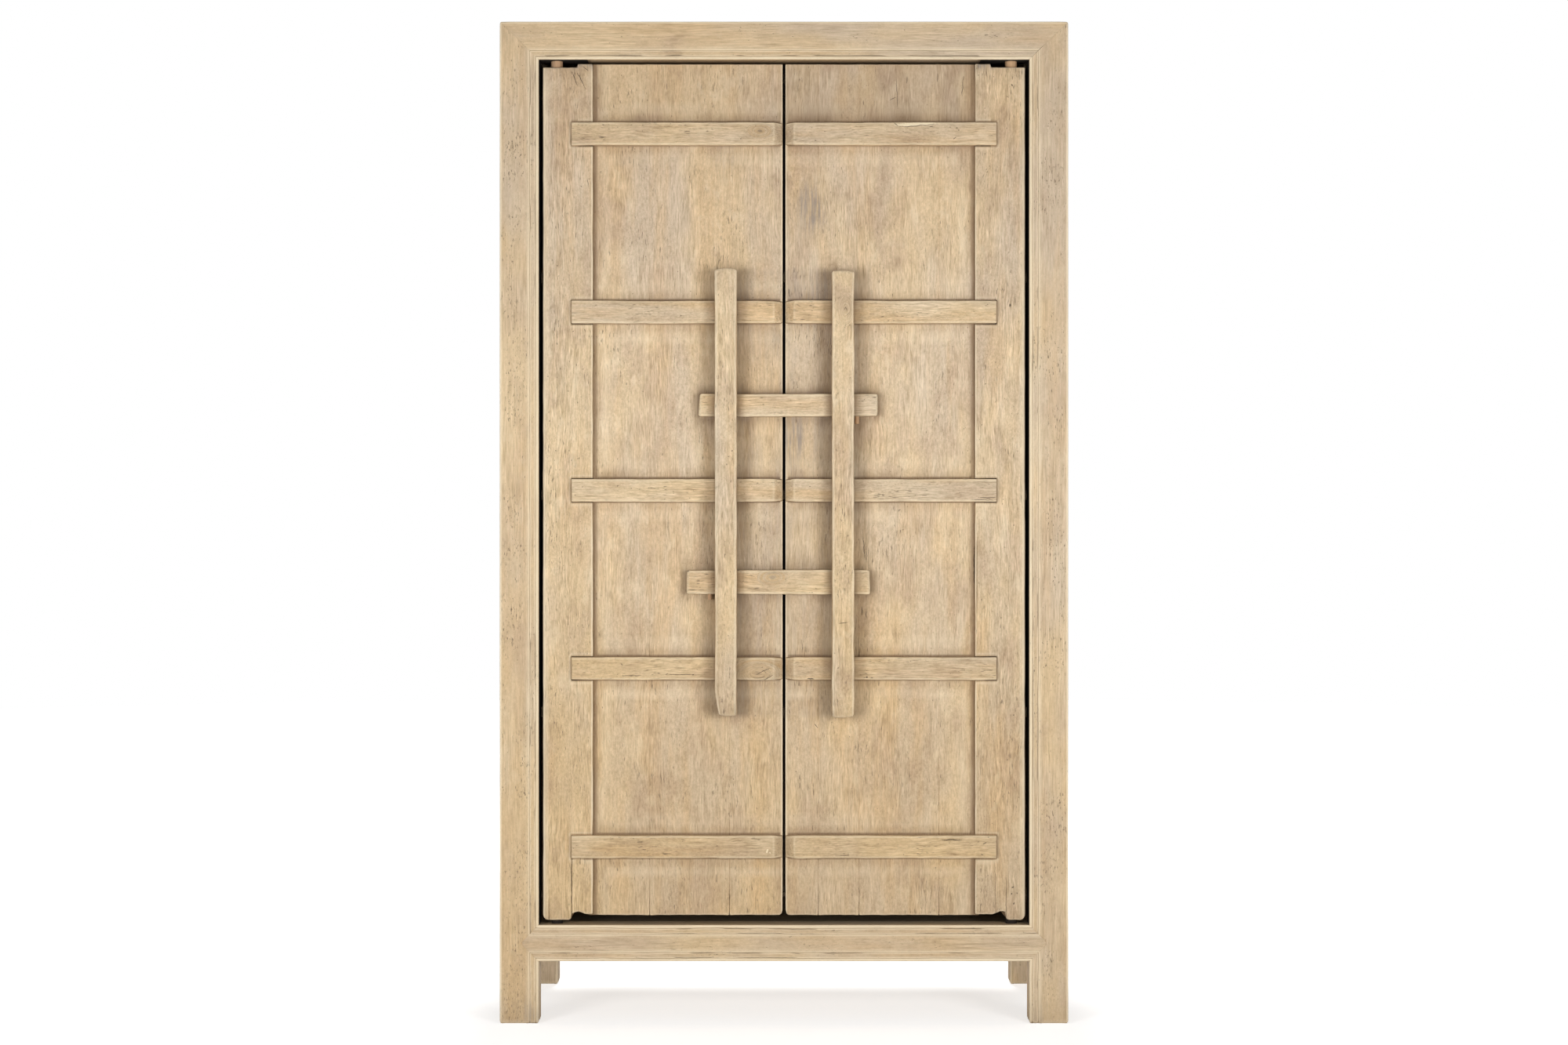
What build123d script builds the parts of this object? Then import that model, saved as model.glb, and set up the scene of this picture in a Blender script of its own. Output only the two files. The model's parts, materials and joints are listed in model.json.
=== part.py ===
from build123d import *
import os

# A tall elm cabinet for books: a mitred frame on four legs, three shelves, and two old plank doors that turn
# on wooden pivots and are held shut by two sliding wooden bolts behind upright bars.
# Millimetres. +Z is up, the front faces -Y, and X runs to the right as seen from the front.
# The origin lies on the floor, under the middle of the whole width and depth, bars included.

# Carcass
cabinet_width = 1016
cabinet_height = 1790
carcass_depth = 480
leg_width = 70
leg_depth = 52
top_rail_height = 68
bottom_rail_height = 65
foot_height = 111
side_rail_thickness = 40
rear_rail_thickness = 36

# Joints of the frame
shoulder_depth = 16
tenon_thickness = 14
tenon_behind_shoulder = 4
side_tenon_length = 28
wood_between_tenons = 3
wood_over_tenon = 4

# Moulded lines round the front opening, by their distance from its edge
moulding_distances = (5.5, 15)
moulding_width = 1.6
moulding_depth = 1.6

# Panels and shelves
panel_tongue = 8
side_panel_thickness = 14
side_panel_setback = 10
back_panel_thickness = 12
back_panel_setback = 8
top_panel_thickness = 16
top_panel_setback = 10
bottom_panel_thickness = 16
bottom_panel_setback = 8
shelf_count = 3
shelf_thickness = 18
shelf_front_gap = 10
shelf_clearance = 1
bearer_width = 30
bearer_height = 30

# Door leaves
door_side_gap = 6
meeting_gap = 5
stile_recess = 10
stile_width = 90
stile_thickness = 36
stile_rounding = 8
stile_top_gap = 12
stile_step_width = 27
stile_bottom_gap = 17
heel_width = 51
heel_gap = 7.5
board_recess = 5
board_thickness = 25
board_top_gap = 6
board_bottom_gap = 15
board_tongue_width = 8
board_tongue_thickness = 8
left_board_widths = (95, 143)
right_board_widths = (59, 73, 143)

# Battens across each leaf
batten_count = 5
batten_from_foot = 124
batten_from_top = 126
batten_width = 43
batten_proud = 8
batten_on_stile = 38
batten_end_gap = 3
batten_bevel_length = 14
batten_bevel_depth = 7
dovetail_depth = 6
dovetail_neck = 34
dovetail_spread = 2

# Pivots of the leaves
pivot_radius = 10.5
pivot_from_edge = 24.5
pivot_hold = 32
top_socket_depth = 30
bottom_socket_depth = 25
pivot_end_gap = 0.3
top_pivot_end_gap = 2
running_clearance = 0.05

# Upright bars, with the pins that hold them to the battens
bar_width = 41
bar_thickness = 36
left_bar_middle = 103.5
left_bar_below_batten = 84
left_bar_above_batten = 77
right_bar_middle = 105
right_bar_below_batten = 87
right_bar_above_batten = 72
bar_battens = (1, 2, 3)
pin_radius = 4
pin_in_batten = 18
pin_in_bar = 22

# Sliding bolts and their stop pegs
bolt_thickness = 22
bolt_board_gap = 0.5
bolt_bar_gap = 0.5
bolt_seat_gap = 0.3
bolt_top_gap = 1.2
upper_bolt_above_middle = 152
upper_bolt_width = 42
upper_bolt_to_left = 153
upper_bolt_to_right = 167
lower_bolt_below_middle = 164
lower_bolt_width = 45
lower_bolt_to_left = 174
lower_bolt_to_right = 154
peg_radius = 3.8
peg_hold = 30
upper_peg_drop = 12.5
upper_peg_bar_gap = 0.9
lower_peg_drop = 9
lower_peg_bar_gap = 4.5

# Places that follow from the sizes above
left, right = -1, 1
half_width = cabinet_width / 2
opening_half = half_width - leg_width
bar_reach = bar_thickness - stile_recess + batten_proud
front_face = (bar_reach - carcass_depth) / 2
back_face = front_face + carcass_depth
front_leg_back = front_face + leg_depth
rear_leg_front = back_face - leg_depth
opening_top = cabinet_height - top_rail_height
bottom_rail_top = foot_height + bottom_rail_height
tenon_shoulder = panel_tongue + wood_over_tenon
front_tenon_length = leg_width - (side_rail_thickness + tenon_thickness) / 2 - wood_between_tenons
bottom_panel_top = bottom_rail_top - bottom_panel_setback
side_panel_outside = half_width - side_panel_setback
side_panel_inside = side_panel_outside - side_panel_thickness
back_panel_front = back_face - back_panel_setback - back_panel_thickness
side_rail_inside = half_width - side_rail_thickness

stile_front = front_face + stile_recess
stile_back = stile_front + stile_thickness
board_front = stile_front + board_recess
board_back = board_front + board_thickness
batten_front = stile_front - batten_proud
dovetail_back = board_front + dovetail_depth
bar_front = batten_front - bar_thickness
leaf_edge = meeting_gap / 2
leaf_outside = opening_half - door_side_gap
stile_inside = leaf_outside - stile_width
board_bottom = bottom_rail_top + board_bottom_gap
board_top = opening_top - board_top_gap
stile_bottom = bottom_rail_top + stile_bottom_gap
stile_top = opening_top - stile_top_gap
heel_bottom = bottom_rail_top + heel_gap
pivot_x = leaf_outside - pivot_from_edge
pivot_y = (stile_front + stile_back) / 2
bolt_back = board_front - bolt_board_gap
bolt_front = bolt_back - bolt_thickness
notch_front = bolt_front - bolt_bar_gap
bolt_middle = (bolt_front + bolt_back) / 2
lowest_batten = board_bottom + batten_from_foot
batten_pitch = (board_top - batten_from_top - lowest_batten) / (batten_count - 1)
batten_heights = [lowest_batten + batten_pitch * step for step in range(batten_count)]
middle_batten = batten_heights[bar_battens[1]]
upper_bolt_height = middle_batten + upper_bolt_above_middle
lower_bolt_height = middle_batten - lower_bolt_below_middle

parts = {}


def block(x, y, z):
    """A squared timber between a low and a high place on each axis."""
    spans = (x, y, z)
    middle = [(low + high) / 2 for low, high in spans]
    return Pos(*middle) * Box(*[high - low for low, high in spans])


def span(side, near, far):
    """The low and high x of what lies from near to far from the middle, to the left or the right."""
    return tuple(sorted((side * near, side * far)))


def prism(corners, reach):
    """A flat outline of 3-D corners, pushed along the vector reach."""
    return Solid.extrude(Face(Wire.make_polygon(corners, close=True)), Vector(*reach))


def peg(x, y, z, radius):
    """A round upright peg at x and y, between a low and a high z."""
    return Pos(x, y, (z[0] + z[1]) / 2) * Cylinder(radius, z[1] - z[0])


# Frame: the corner of three members at each top corner is shared out as three mitred wedges.


def corner_wedge(side, outer_y, inner_y, along):
    """The share of one top corner that belongs to the member running along axis 0, 1 or 2."""
    outer = (side * half_width, outer_y, cabinet_height)
    inner = (side * opening_half, inner_y, opening_top)
    first, second = [axis for axis in range(3) if axis != along]
    corners = []
    for one, other in ((outer, outer), (inner, outer), (inner, inner), (outer, inner)):
        corner = list(inner)
        corner[first] = one[first]
        corner[second] = other[second]
        corners.append(tuple(corner))
    return loft([Face(Wire.make_polygon(corners, close=True)), Vertex(*outer)], ruled=True)


def leg(side, outer_y, inner_y):
    """One leg, from the floor to its mitred top."""
    column = block(span(side, opening_half, half_width), sorted((outer_y, inner_y)), (0, opening_top))
    return column + corner_wedge(side, outer_y, inner_y, 2)


def top_cross_rail(outer_y, inner_y):
    """The front or the rear rail of the top frame, between its two mitres."""
    rail = block((-opening_half, opening_half), sorted((outer_y, inner_y)), (opening_top, cabinet_height))
    for side in (left, right):
        rail += corner_wedge(side, outer_y, inner_y, 0)
    return rail


def top_side_rail(side):
    """A side rail of the top frame, between its two mitres."""
    depth = (front_leg_back, rear_leg_front)
    rail = block(span(side, opening_half, half_width), depth, (opening_top, cabinet_height))
    rail += corner_wedge(side, front_face, front_leg_back, 1)
    return rail + corner_wedge(side, back_face, rear_leg_front, 1)


tenon_heights = (foot_height + tenon_shoulder, bottom_rail_top - tenon_shoulder)


def pointed_shoulder(side):
    """The triangular mitred shoulder that the front bottom rail lays over the face of a leg."""
    middle = (foot_height + bottom_rail_top) / 2
    corners = [
        (side * opening_half, front_face, foot_height),
        (side * (opening_half + bottom_rail_height / 2), front_face, middle),
        (side * opening_half, front_face, bottom_rail_top),
    ]
    return prism(corners, (0, shoulder_depth, 0))


def cross_tenon(side, tenon_front):
    """A tenon at the end of a bottom cross rail."""
    reach = span(side, opening_half, opening_half + front_tenon_length)
    return block(reach, (tenon_front, tenon_front + tenon_thickness), tenon_heights)


def side_tenons(side):
    """The two tenons of a bottom side rail, as one span through both legs' mortises."""
    middle = half_width - side_rail_thickness / 2
    across = span(side, middle - tenon_thickness / 2, middle + tenon_thickness / 2)
    front = (front_leg_back - side_tenon_length, front_leg_back)
    rear = (rear_leg_front, rear_leg_front + side_tenon_length)
    return block(across, front, tenon_heights) + block(across, rear, tenon_heights)


front_tenon_place = front_face + shoulder_depth + tenon_behind_shoulder
rear_tenon_place = back_face - (rear_rail_thickness + tenon_thickness) / 2
rail_heights = (foot_height, bottom_rail_top)

front_bottom_rail = block((-opening_half, opening_half), (front_face, front_leg_back), rail_heights)
rear_bottom_rail = block(
    (-opening_half, opening_half), (back_face - rear_rail_thickness, back_face), rail_heights
)
for side in (left, right):
    front_bottom_rail += pointed_shoulder(side) + cross_tenon(side, front_tenon_place)
    rear_bottom_rail += cross_tenon(side, rear_tenon_place)


def bottom_side_rail(side):
    """A side rail at the foot of the carcass, with its tenons."""
    rail = block(span(side, side_rail_inside, half_width), (front_leg_back, rear_leg_front), rail_heights)
    return rail + side_tenons(side)


# Panels: each is let into grooves of the frame round it, and the grooves are cut by the panel itself.


def side_panel(side):
    depth = (front_leg_back - panel_tongue, rear_leg_front + panel_tongue)
    heights = (bottom_rail_top - panel_tongue, opening_top + panel_tongue)
    return block(span(side, side_panel_inside, side_panel_outside), depth, heights)


tongue_half = opening_half + panel_tongue
back_panel = block(
    (-tongue_half, tongue_half),
    (back_panel_front, back_panel_front + back_panel_thickness),
    (bottom_rail_top - panel_tongue, opening_top + panel_tongue),
)
top_panel = block(
    (-tongue_half, tongue_half),
    (front_leg_back - panel_tongue, rear_leg_front + panel_tongue),
    (cabinet_height - top_panel_setback - top_panel_thickness, cabinet_height - top_panel_setback),
)
bottom_panel = block(
    (-side_rail_inside - panel_tongue, side_rail_inside + panel_tongue),
    (front_leg_back - panel_tongue, back_face - rear_rail_thickness + panel_tongue),
    (bottom_panel_top - bottom_panel_thickness, bottom_panel_top),
)
for side in (left, right):
    for depth in ((front_face, front_leg_back), (rear_leg_front, back_face)):
        bottom_panel -= block(span(side, opening_half, half_width), depth, (0, cabinet_height))

frame_panels = [back_panel, top_panel, bottom_panel, side_panel(left), side_panel(right)]


def grooved(member):
    """A frame member with the grooves of the panels that it holds."""
    for panel in frame_panels:
        member -= panel
    return member


# Moulding: shallow lines that follow the front opening, and the lower edge of the bottom rail.


def moulding_line(x, z):
    return block(x, (front_face, front_face + moulding_depth), z)


def lines_across(edge, inward):
    """The lines along a rail, from the edge at height edge towards the rail's middle."""
    strips = []
    for distance in moulding_distances:
        middle = edge + inward * distance
        heights = (middle - moulding_width / 2, middle + moulding_width / 2)
        strips.append(moulding_line((-half_width, half_width), heights))
    return strips


def lines_down_leg(side):
    strips = []
    for distance in moulding_distances:
        near = opening_half + distance - moulding_width / 2
        strips.append(moulding_line(span(side, near, near + moulding_width), (0, cabinet_height)))
    return strips


def socket(side, z):
    """The round hole in a rail that a leaf's pivot turns in."""
    return peg(side * pivot_x, pivot_y, z, pivot_radius + running_clearance)


front_top_rail = top_cross_rail(front_face, front_leg_back)
for strip in lines_across(opening_top, 1):
    front_top_rail -= strip
for strip in lines_across(bottom_rail_top, -1) + lines_across(foot_height, 1):
    front_bottom_rail -= strip
for side in (left, right):
    front_top_rail -= socket(side, (opening_top, opening_top + top_socket_depth))
    front_bottom_rail -= socket(side, (bottom_rail_top - bottom_socket_depth, bottom_rail_top))

parts["front_top_rail"] = grooved(front_top_rail)
parts["front_bottom_rail"] = grooved(front_bottom_rail)
parts["rear_top_rail"] = grooved(top_cross_rail(back_face, rear_leg_front))
parts["rear_bottom_rail"] = grooved(rear_bottom_rail)
parts["back_panel"] = back_panel
parts["top_panel"] = top_panel
parts["bottom_panel"] = bottom_panel

for side, name in ((left, "left"), (right, "right")):
    front_leg = leg(side, front_face, front_leg_back)
    front_leg -= pointed_shoulder(side) + cross_tenon(side, front_tenon_place) + side_tenons(side)
    for strip in lines_down_leg(side):
        front_leg -= strip
    rear_leg = leg(side, back_face, rear_leg_front)
    rear_leg -= cross_tenon(side, rear_tenon_place) + side_tenons(side)
    parts[name + "_front_leg"] = grooved(front_leg)
    parts[name + "_rear_leg"] = grooved(rear_leg)
    parts[name + "_top_side_rail"] = grooved(top_side_rail(side))
    parts[name + "_bottom_side_rail"] = grooved(bottom_side_rail(side))
    parts[name + "_side_panel"] = side_panel(side)

# Shelves: each lies on two bearers that butt between the front and the rear leg.

storage_height = opening_top - bottom_panel_top - shelf_count * shelf_thickness
compartment_height = storage_height / (shelf_count + 1)


def shelf(bottom):
    """One shelf, notched round the rear legs."""
    reach = side_panel_inside - shelf_clearance
    depth = (front_leg_back + shelf_front_gap, back_panel_front - shelf_clearance)
    heights = (bottom, bottom + shelf_thickness)
    board = block((-reach, reach), depth, heights)
    for side in (left, right):
        notch = span(side, opening_half - shelf_clearance, half_width)
        board -= block(notch, (rear_leg_front - shelf_clearance, back_face), heights)
    return board


for level in range(1, shelf_count + 1):
    shelf_bottom = bottom_panel_top + compartment_height * level + shelf_thickness * (level - 1)
    parts[f"shelf_{level}"] = shelf(shelf_bottom)
    for side, name in ((left, "left"), (right, "right")):
        parts[f"{name}_shelf_bearer_{level}"] = block(
            span(side, side_panel_inside - bearer_width, side_panel_inside),
            (front_leg_back, rear_leg_front),
            (shelf_bottom - bearer_height, shelf_bottom),
        )

# Door leaves: boards beside a thick pivot stile, held by battens in dovetailed housings.


def batten(side, height):
    """One batten, bevelled where the leaves meet, with a dovetailed key along its back."""
    near = leaf_edge + batten_end_gap
    far = stile_inside + batten_on_stile
    low = height - batten_width / 2
    outline = [
        (side * near, board_front, low),
        (side * far, board_front, low),
        (side * far, batten_front, low),
        (side * (near + batten_bevel_length), batten_front, low),
        (side * near, batten_front + batten_bevel_depth, low),
    ]
    neck = dovetail_neck / 2
    key = [
        (side * near, board_front, height - neck),
        (side * near, board_front, height + neck),
        (side * near, dovetail_back, height + neck + dovetail_spread),
        (side * near, dovetail_back, height - neck - dovetail_spread),
    ]
    return prism(outline, (0, 0, batten_width)) + prism(key, (side * (far - near), 0, 0))


def pivot(side, z):
    return peg(side * pivot_x, pivot_y, z, pivot_radius)


def stile_blank(side):
    """The pivot stile with its raised step at the top and its heel at the bottom, rounded outside."""
    step = stile_inside + stile_step_width
    heel = leaf_outside - heel_width
    outline = [
        (stile_inside, stile_bottom),
        (heel, stile_bottom),
        (heel, heel_bottom),
        (leaf_outside, heel_bottom),
        (leaf_outside, stile_top),
        (step, stile_top),
        (step, board_top),
        (stile_inside, board_top),
    ]
    corners = [(side * x, stile_front, z) for x, z in outline]
    blank = prism(corners, (0, stile_thickness, 0))
    outer_edges = [
        edge for edge in blank.edges().filter_by(Axis.Z) if abs(abs(edge.center().X) - leaf_outside) < 1
    ]
    return fillet(outer_edges, stile_rounding)


def boards(side, widths):
    """The leaf's boards from the meeting edge to the stile, the last with a tongue into it."""
    edges = [leaf_edge]
    for width in widths:
        edges.append(edges[-1] + width)
    edges.append(stile_inside)
    found = []
    for near, far in zip(edges, edges[1:]):
        found.append(block(span(side, near, far), (board_front, board_back), (board_bottom, board_top)))
    middle = (board_front + board_back) / 2
    found[-1] += block(
        span(side, stile_inside, stile_inside + board_tongue_width),
        (middle - board_tongue_thickness / 2, middle + board_tongue_thickness / 2),
        (board_bottom + board_tongue_width, board_top - board_tongue_width),
    )
    return found


def bolt(ends, height, width):
    return block(ends, (bolt_front, bolt_back), (height - width / 2, height + width / 2))


def bar(side, middle, heights):
    """An upright bar over the battens, notched at the back for the two bolts."""
    across = span(side, middle - bar_width / 2, middle + bar_width / 2)
    timber = block(across, (bar_front, batten_front), heights)
    for height, width in ((upper_bolt_height, upper_bolt_width), (lower_bolt_height, lower_bolt_width)):
        notch = (height - width / 2 - bolt_seat_gap, height + width / 2 + bolt_top_gap)
        timber -= block(across, (notch_front, batten_front), notch)
    return timber


def bar_pins(side, middle, radius):
    """The pins through a bar and the battens under it, as separate round solids."""
    length = pin_in_batten + pin_in_bar
    place = batten_front + (pin_in_batten - pin_in_bar) / 2
    pins = []
    for step in bar_battens:
        pins.append(Pos(side * middle, place, batten_heights[step]) * Rot(X=90) * Cylinder(radius, length))
    return pins


lowest_held = batten_heights[bar_battens[0]]
highest_held = batten_heights[bar_battens[-1]]
left_bar_heights = (lowest_held - left_bar_below_batten, highest_held + left_bar_above_batten)
right_bar_heights = (lowest_held - right_bar_below_batten, highest_held + right_bar_above_batten)
leaf_plans = (
    (left, "left", left_board_widths, left_bar_middle, left_bar_heights),
    (right, "right", right_board_widths, right_bar_middle, right_bar_heights),
)
for side, name, widths, bar_middle, bar_heights in leaf_plans:
    battens = [batten(side, height) for height in batten_heights]
    leaf_boards = boards(side, widths)
    top_pivot_end = opening_top + top_socket_depth - top_pivot_end_gap
    bottom_pivot_end = bottom_rail_top - bottom_socket_depth + pivot_end_gap
    stile = stile_blank(side) - leaf_boards[-1]
    stile -= socket(side, (stile_top - pivot_hold, stile_top))
    stile -= socket(side, (heel_bottom, heel_bottom + pivot_hold))
    for crossing in battens:
        stile -= crossing
        leaf_boards = [board - crossing for board in leaf_boards]
    timber = bar(side, bar_middle, bar_heights)
    for hole in bar_pins(side, bar_middle, pin_radius + running_clearance):
        timber -= hole
        battens = [crossing - hole for crossing in battens]

    parts[name + "_pivot_stile"] = stile
    for number, board in enumerate(leaf_boards, 1):
        parts[f"{name}_door_board_{number}"] = board
    for number, crossing in enumerate(battens, 1):
        parts[f"{name}_door_batten_{number}"] = crossing
    parts[name + "_top_pivot"] = pivot(side, (stile_top - pivot_hold, top_pivot_end))
    parts[name + "_bottom_pivot"] = pivot(side, (bottom_pivot_end, heel_bottom + pivot_hold))
    parts[name + "_bar"] = timber
    parts[name + "_bar_pins"] = Compound(children=bar_pins(side, bar_middle, pin_radius))


# Bolts: each has a peg under it that meets its own leaf's bar, so that it slides out of the other leaf.


def stop_peg(x, height, width, drop, radius):
    bottom = height - width / 2
    return peg(x, bolt_middle, (bottom - drop, bottom + peg_hold), radius)


upper_bolt_ends = (-upper_bolt_to_left, upper_bolt_to_right)
lower_bolt_ends = (-lower_bolt_to_left, lower_bolt_to_right)
upper_peg_x = right_bar_middle + bar_width / 2 + upper_peg_bar_gap + peg_radius
lower_peg_x = -left_bar_middle - bar_width / 2 - lower_peg_bar_gap - peg_radius
bolt_plans = (
    ("upper", upper_bolt_ends, upper_bolt_height, upper_bolt_width, upper_peg_x, upper_peg_drop),
    ("lower", lower_bolt_ends, lower_bolt_height, lower_bolt_width, lower_peg_x, lower_peg_drop),
)
for name, ends, height, width, peg_x, drop in bolt_plans:
    hole = stop_peg(peg_x, height, width, drop, peg_radius + running_clearance)
    parts[name + "_bolt"] = bolt(ends, height, width) - hole
    parts[name + "_bolt_peg"] = stop_peg(peg_x, height, width, drop, peg_radius)

os.makedirs("parts", exist_ok=True)
for name, shape in parts.items():
    export_step(shape, f"parts/{name}.step")
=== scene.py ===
# %% [markdown]
# # A Chinese book cabinet of bleached elm
# The real cabinet is a new mitred frame built round two old plank doors. The doors turn on wooden pivots, and
# two wooden bolts behind upright bars hold them shut. The construction is already solid and measured, so this
# lesson dresses it: every timber gets its worn edges, its hewn faces and its bleached, glazed finish.
# The first cell loads the construction, and every later size is read from it.

# %% Load the construction
import json
import math

import bpy
import numpy as np
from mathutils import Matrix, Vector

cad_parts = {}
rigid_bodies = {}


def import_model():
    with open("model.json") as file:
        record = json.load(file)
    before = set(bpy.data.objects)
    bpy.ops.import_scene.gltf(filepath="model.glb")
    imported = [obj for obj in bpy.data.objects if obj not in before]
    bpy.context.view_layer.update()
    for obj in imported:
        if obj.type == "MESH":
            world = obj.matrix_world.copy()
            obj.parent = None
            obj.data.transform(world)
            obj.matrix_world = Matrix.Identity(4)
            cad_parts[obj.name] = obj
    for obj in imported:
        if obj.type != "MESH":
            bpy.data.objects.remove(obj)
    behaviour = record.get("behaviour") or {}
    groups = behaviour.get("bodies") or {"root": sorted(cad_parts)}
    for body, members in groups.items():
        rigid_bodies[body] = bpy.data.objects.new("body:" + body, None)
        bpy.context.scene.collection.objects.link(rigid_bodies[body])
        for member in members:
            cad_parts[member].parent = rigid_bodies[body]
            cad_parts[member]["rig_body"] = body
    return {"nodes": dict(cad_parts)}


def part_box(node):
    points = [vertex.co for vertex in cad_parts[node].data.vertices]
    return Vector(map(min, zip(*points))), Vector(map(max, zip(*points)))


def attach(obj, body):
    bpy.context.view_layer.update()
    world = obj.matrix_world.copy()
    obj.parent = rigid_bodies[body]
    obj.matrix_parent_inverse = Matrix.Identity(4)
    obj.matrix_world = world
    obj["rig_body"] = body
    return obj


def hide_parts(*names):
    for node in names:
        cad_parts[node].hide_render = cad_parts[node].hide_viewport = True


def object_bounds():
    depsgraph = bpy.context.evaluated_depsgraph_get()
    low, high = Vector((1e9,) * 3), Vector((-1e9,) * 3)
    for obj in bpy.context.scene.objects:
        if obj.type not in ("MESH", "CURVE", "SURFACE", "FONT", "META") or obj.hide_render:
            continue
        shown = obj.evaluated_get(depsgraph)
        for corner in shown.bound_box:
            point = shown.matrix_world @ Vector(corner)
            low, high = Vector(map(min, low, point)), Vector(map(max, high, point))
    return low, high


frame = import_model()
cad_low, cad_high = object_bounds()
LEFT, RIGHT = -1, 1
SIDE_NAMES = {LEFT: "left", RIGHT: "right"}
print("loaded", len(frame["nodes"]), "solids, height", round(cad_high.z, 3))

# %% [markdown]
# ## Reading the sizes
# A batten, a leg or a rail gives its own place through its box. The finish needs a few of these places too,
# because dark glaze and painted shadow are put beside the battens and round the bars.

# %% Read the sizes
def heights_of(side):
    """The middle heights of the battens of one leaf, from the lowest up."""
    found = []
    for number in range(1, 6):
        low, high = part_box(f"{SIDE_NAMES[side]}_door_batten_{number}")
        found.append((low.z + high.z) / 2)
    return found


leg_low, leg_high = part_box("right_front_leg")
rail_low, rail_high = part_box("front_bottom_rail")
top_low, top_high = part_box("front_top_rail")
board_low, board_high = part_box("right_door_board_1")
stile_low, stile_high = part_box("right_pivot_stile")
batten_low, batten_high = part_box("right_door_batten_1")
bar_low, bar_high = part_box("right_bar")

half_width = leg_high.x
opening_half = leg_low.x
leg_width = leg_high.x - leg_low.x
front_face = leg_low.y
cabinet_height = leg_high.z
opening_top = top_low.z
top_rail_height = top_high.z - top_low.z
rail_height = rail_high.z - rail_low.z
batten_heights = heights_of(RIGHT)
batten_pitch = (batten_heights[-1] - batten_heights[0]) / (len(batten_heights) - 1)
batten_half = (batten_high.z - batten_low.z) / 2
batten_front = batten_low.y
board_front = board_low.y
print("battens at", [round(z, 3) for z in batten_heights], "pitch", round(batten_pitch, 4))

# %% [markdown]
# ## Camera
# The cabinet is seen square on from about five metres at half its height, so the underside of the top rail
# and the top of the bottom rail just show. The lens follows from the width that the picture takes in.

# %% Camera
picture_width = 2.8
camera_distance = 5.0
sensor_width = 36

camera_data = bpy.data.cameras.new("camera")
camera_data.sensor_width = sensor_width
camera_data.lens = sensor_width * camera_distance / picture_width
camera = bpy.data.objects.new("camera", camera_data)
bpy.context.scene.collection.objects.link(camera)
camera.location = (0, front_face - camera_distance, cabinet_height / 2)
camera.rotation_euler = (math.radians(90), 0, 0)
bpy.context.scene.camera = camera
print("lens", round(camera_data.lens, 1), "mm")

# %% [markdown]
# ## Writing shader maths as sums
# A shader is arithmetic on patterns. Wrapping a node's output in a small class lets that arithmetic be
# written as ordinary sums, and each sum adds its own Math node.

# %% Shader sums
class Flow:
    """One output of a shader node, with arithmetic on it."""

    def __init__(self, tree, socket):
        self.tree = tree
        self.socket = socket

    def combine(self, operation, *values):
        inputs = dict(enumerate(values))
        return self.tree.node("ShaderNodeMath", {"operation": operation}, inputs)[0]

    def __add__(self, other):
        return self.combine("ADD", self, other)

    __radd__ = __add__

    def __sub__(self, other):
        return self.combine("SUBTRACT", self, other)

    def __rsub__(self, other):
        return self.combine("SUBTRACT", other, self)

    def __mul__(self, other):
        return self.combine("MULTIPLY", self, other)

    __rmul__ = __mul__

    def __truediv__(self, other):
        return self.combine("DIVIDE", self, other)

    def __pow__(self, other):
        return self.combine("POWER", self, other)

    def __abs__(self):
        return self.combine("ABSOLUTE", self)

    def fraction(self):
        return self.combine("FRACT", self)

    def at_most(self, other):
        return self.combine("MINIMUM", self, other)

    def at_least(self, other):
        return self.combine("MAXIMUM", self, other)

    def between(self, low, high):
        """0 below low, 1 above high, and a smooth rise between them. It falls where high is the smaller."""
        settings = {"interpolation_type": "SMOOTHSTEP", "clamp": True}
        rising = high > low
        ends = {"From Min": min(low, high), "From Max": max(low, high)}
        results = {"To Min": 0 if rising else 1, "To Max": 1 if rising else 0}
        return self.tree.node("ShaderNodeMapRange", settings, {"Value": self, **ends, **results})[0]


class Node:
    """A shader node whose outputs come out as Flow."""

    def __init__(self, tree, made):
        self.tree = tree
        self.made = made

    def __getitem__(self, key):
        return Flow(self.tree, self.made.outputs[key])


class Tree:
    """The node tree of a material or of the surroundings, filled by one method."""

    def __init__(self, material):
        material.use_nodes = True
        self.nodes = material.node_tree.nodes
        self.links = material.node_tree.links
        self.nodes.clear()

    def node(self, kind, settings=None, inputs=None):
        """A node of that kind: its settings are set first, then its sockets get their values or links."""
        made = self.nodes.new(kind)
        for name, value in (settings or {}).items():
            setattr(made, name, value)
        for name, value in (inputs or {}).items():
            if isinstance(value, Flow):
                self.links.new(value.socket, made.inputs[name])
            else:
                made.inputs[name].default_value = value
        return Node(self, made)

    def vector(self, operation, *values):
        """One step of vector maths. A length or a dot product gives a number, and the others a vector."""
        made = self.node("ShaderNodeVectorMath", {"operation": operation}, dict(enumerate(values)))
        return made["Value" if operation in ("LENGTH", "DOT_PRODUCT") else "Vector"]

    def noise(self, place, stretch, detail, roughness):
        """Cloudy noise between 0 and 1, with stretch cells to the metre along each axis."""
        values = {"Vector": self.vector("MULTIPLY", place, stretch), "Scale": 1.0}
        values.update({"Detail": detail, "Roughness": roughness})
        return self.node("ShaderNodeTexNoise", None, values)["Fac"]

    def blend(self, factor, first, second, how="MIX"):
        """A mix of two colours, where the factor is a number or a pattern."""
        settings = {"data_type": "RGBA", "blend_type": how, "clamp_factor": True}
        made = self.node("ShaderNodeMix", settings, {0: factor, 6: first, 7: second})
        return made[2]


print("shader sums ready")


# %% [markdown]
# ## Hand work is never quite straight
# A plane, an adze and two centuries of wear leave long shallow swells. Blender could add them with a
# displace modifier, but numbers worked out here keep every timber inside its true size, because wood is only
# taken away.

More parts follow.
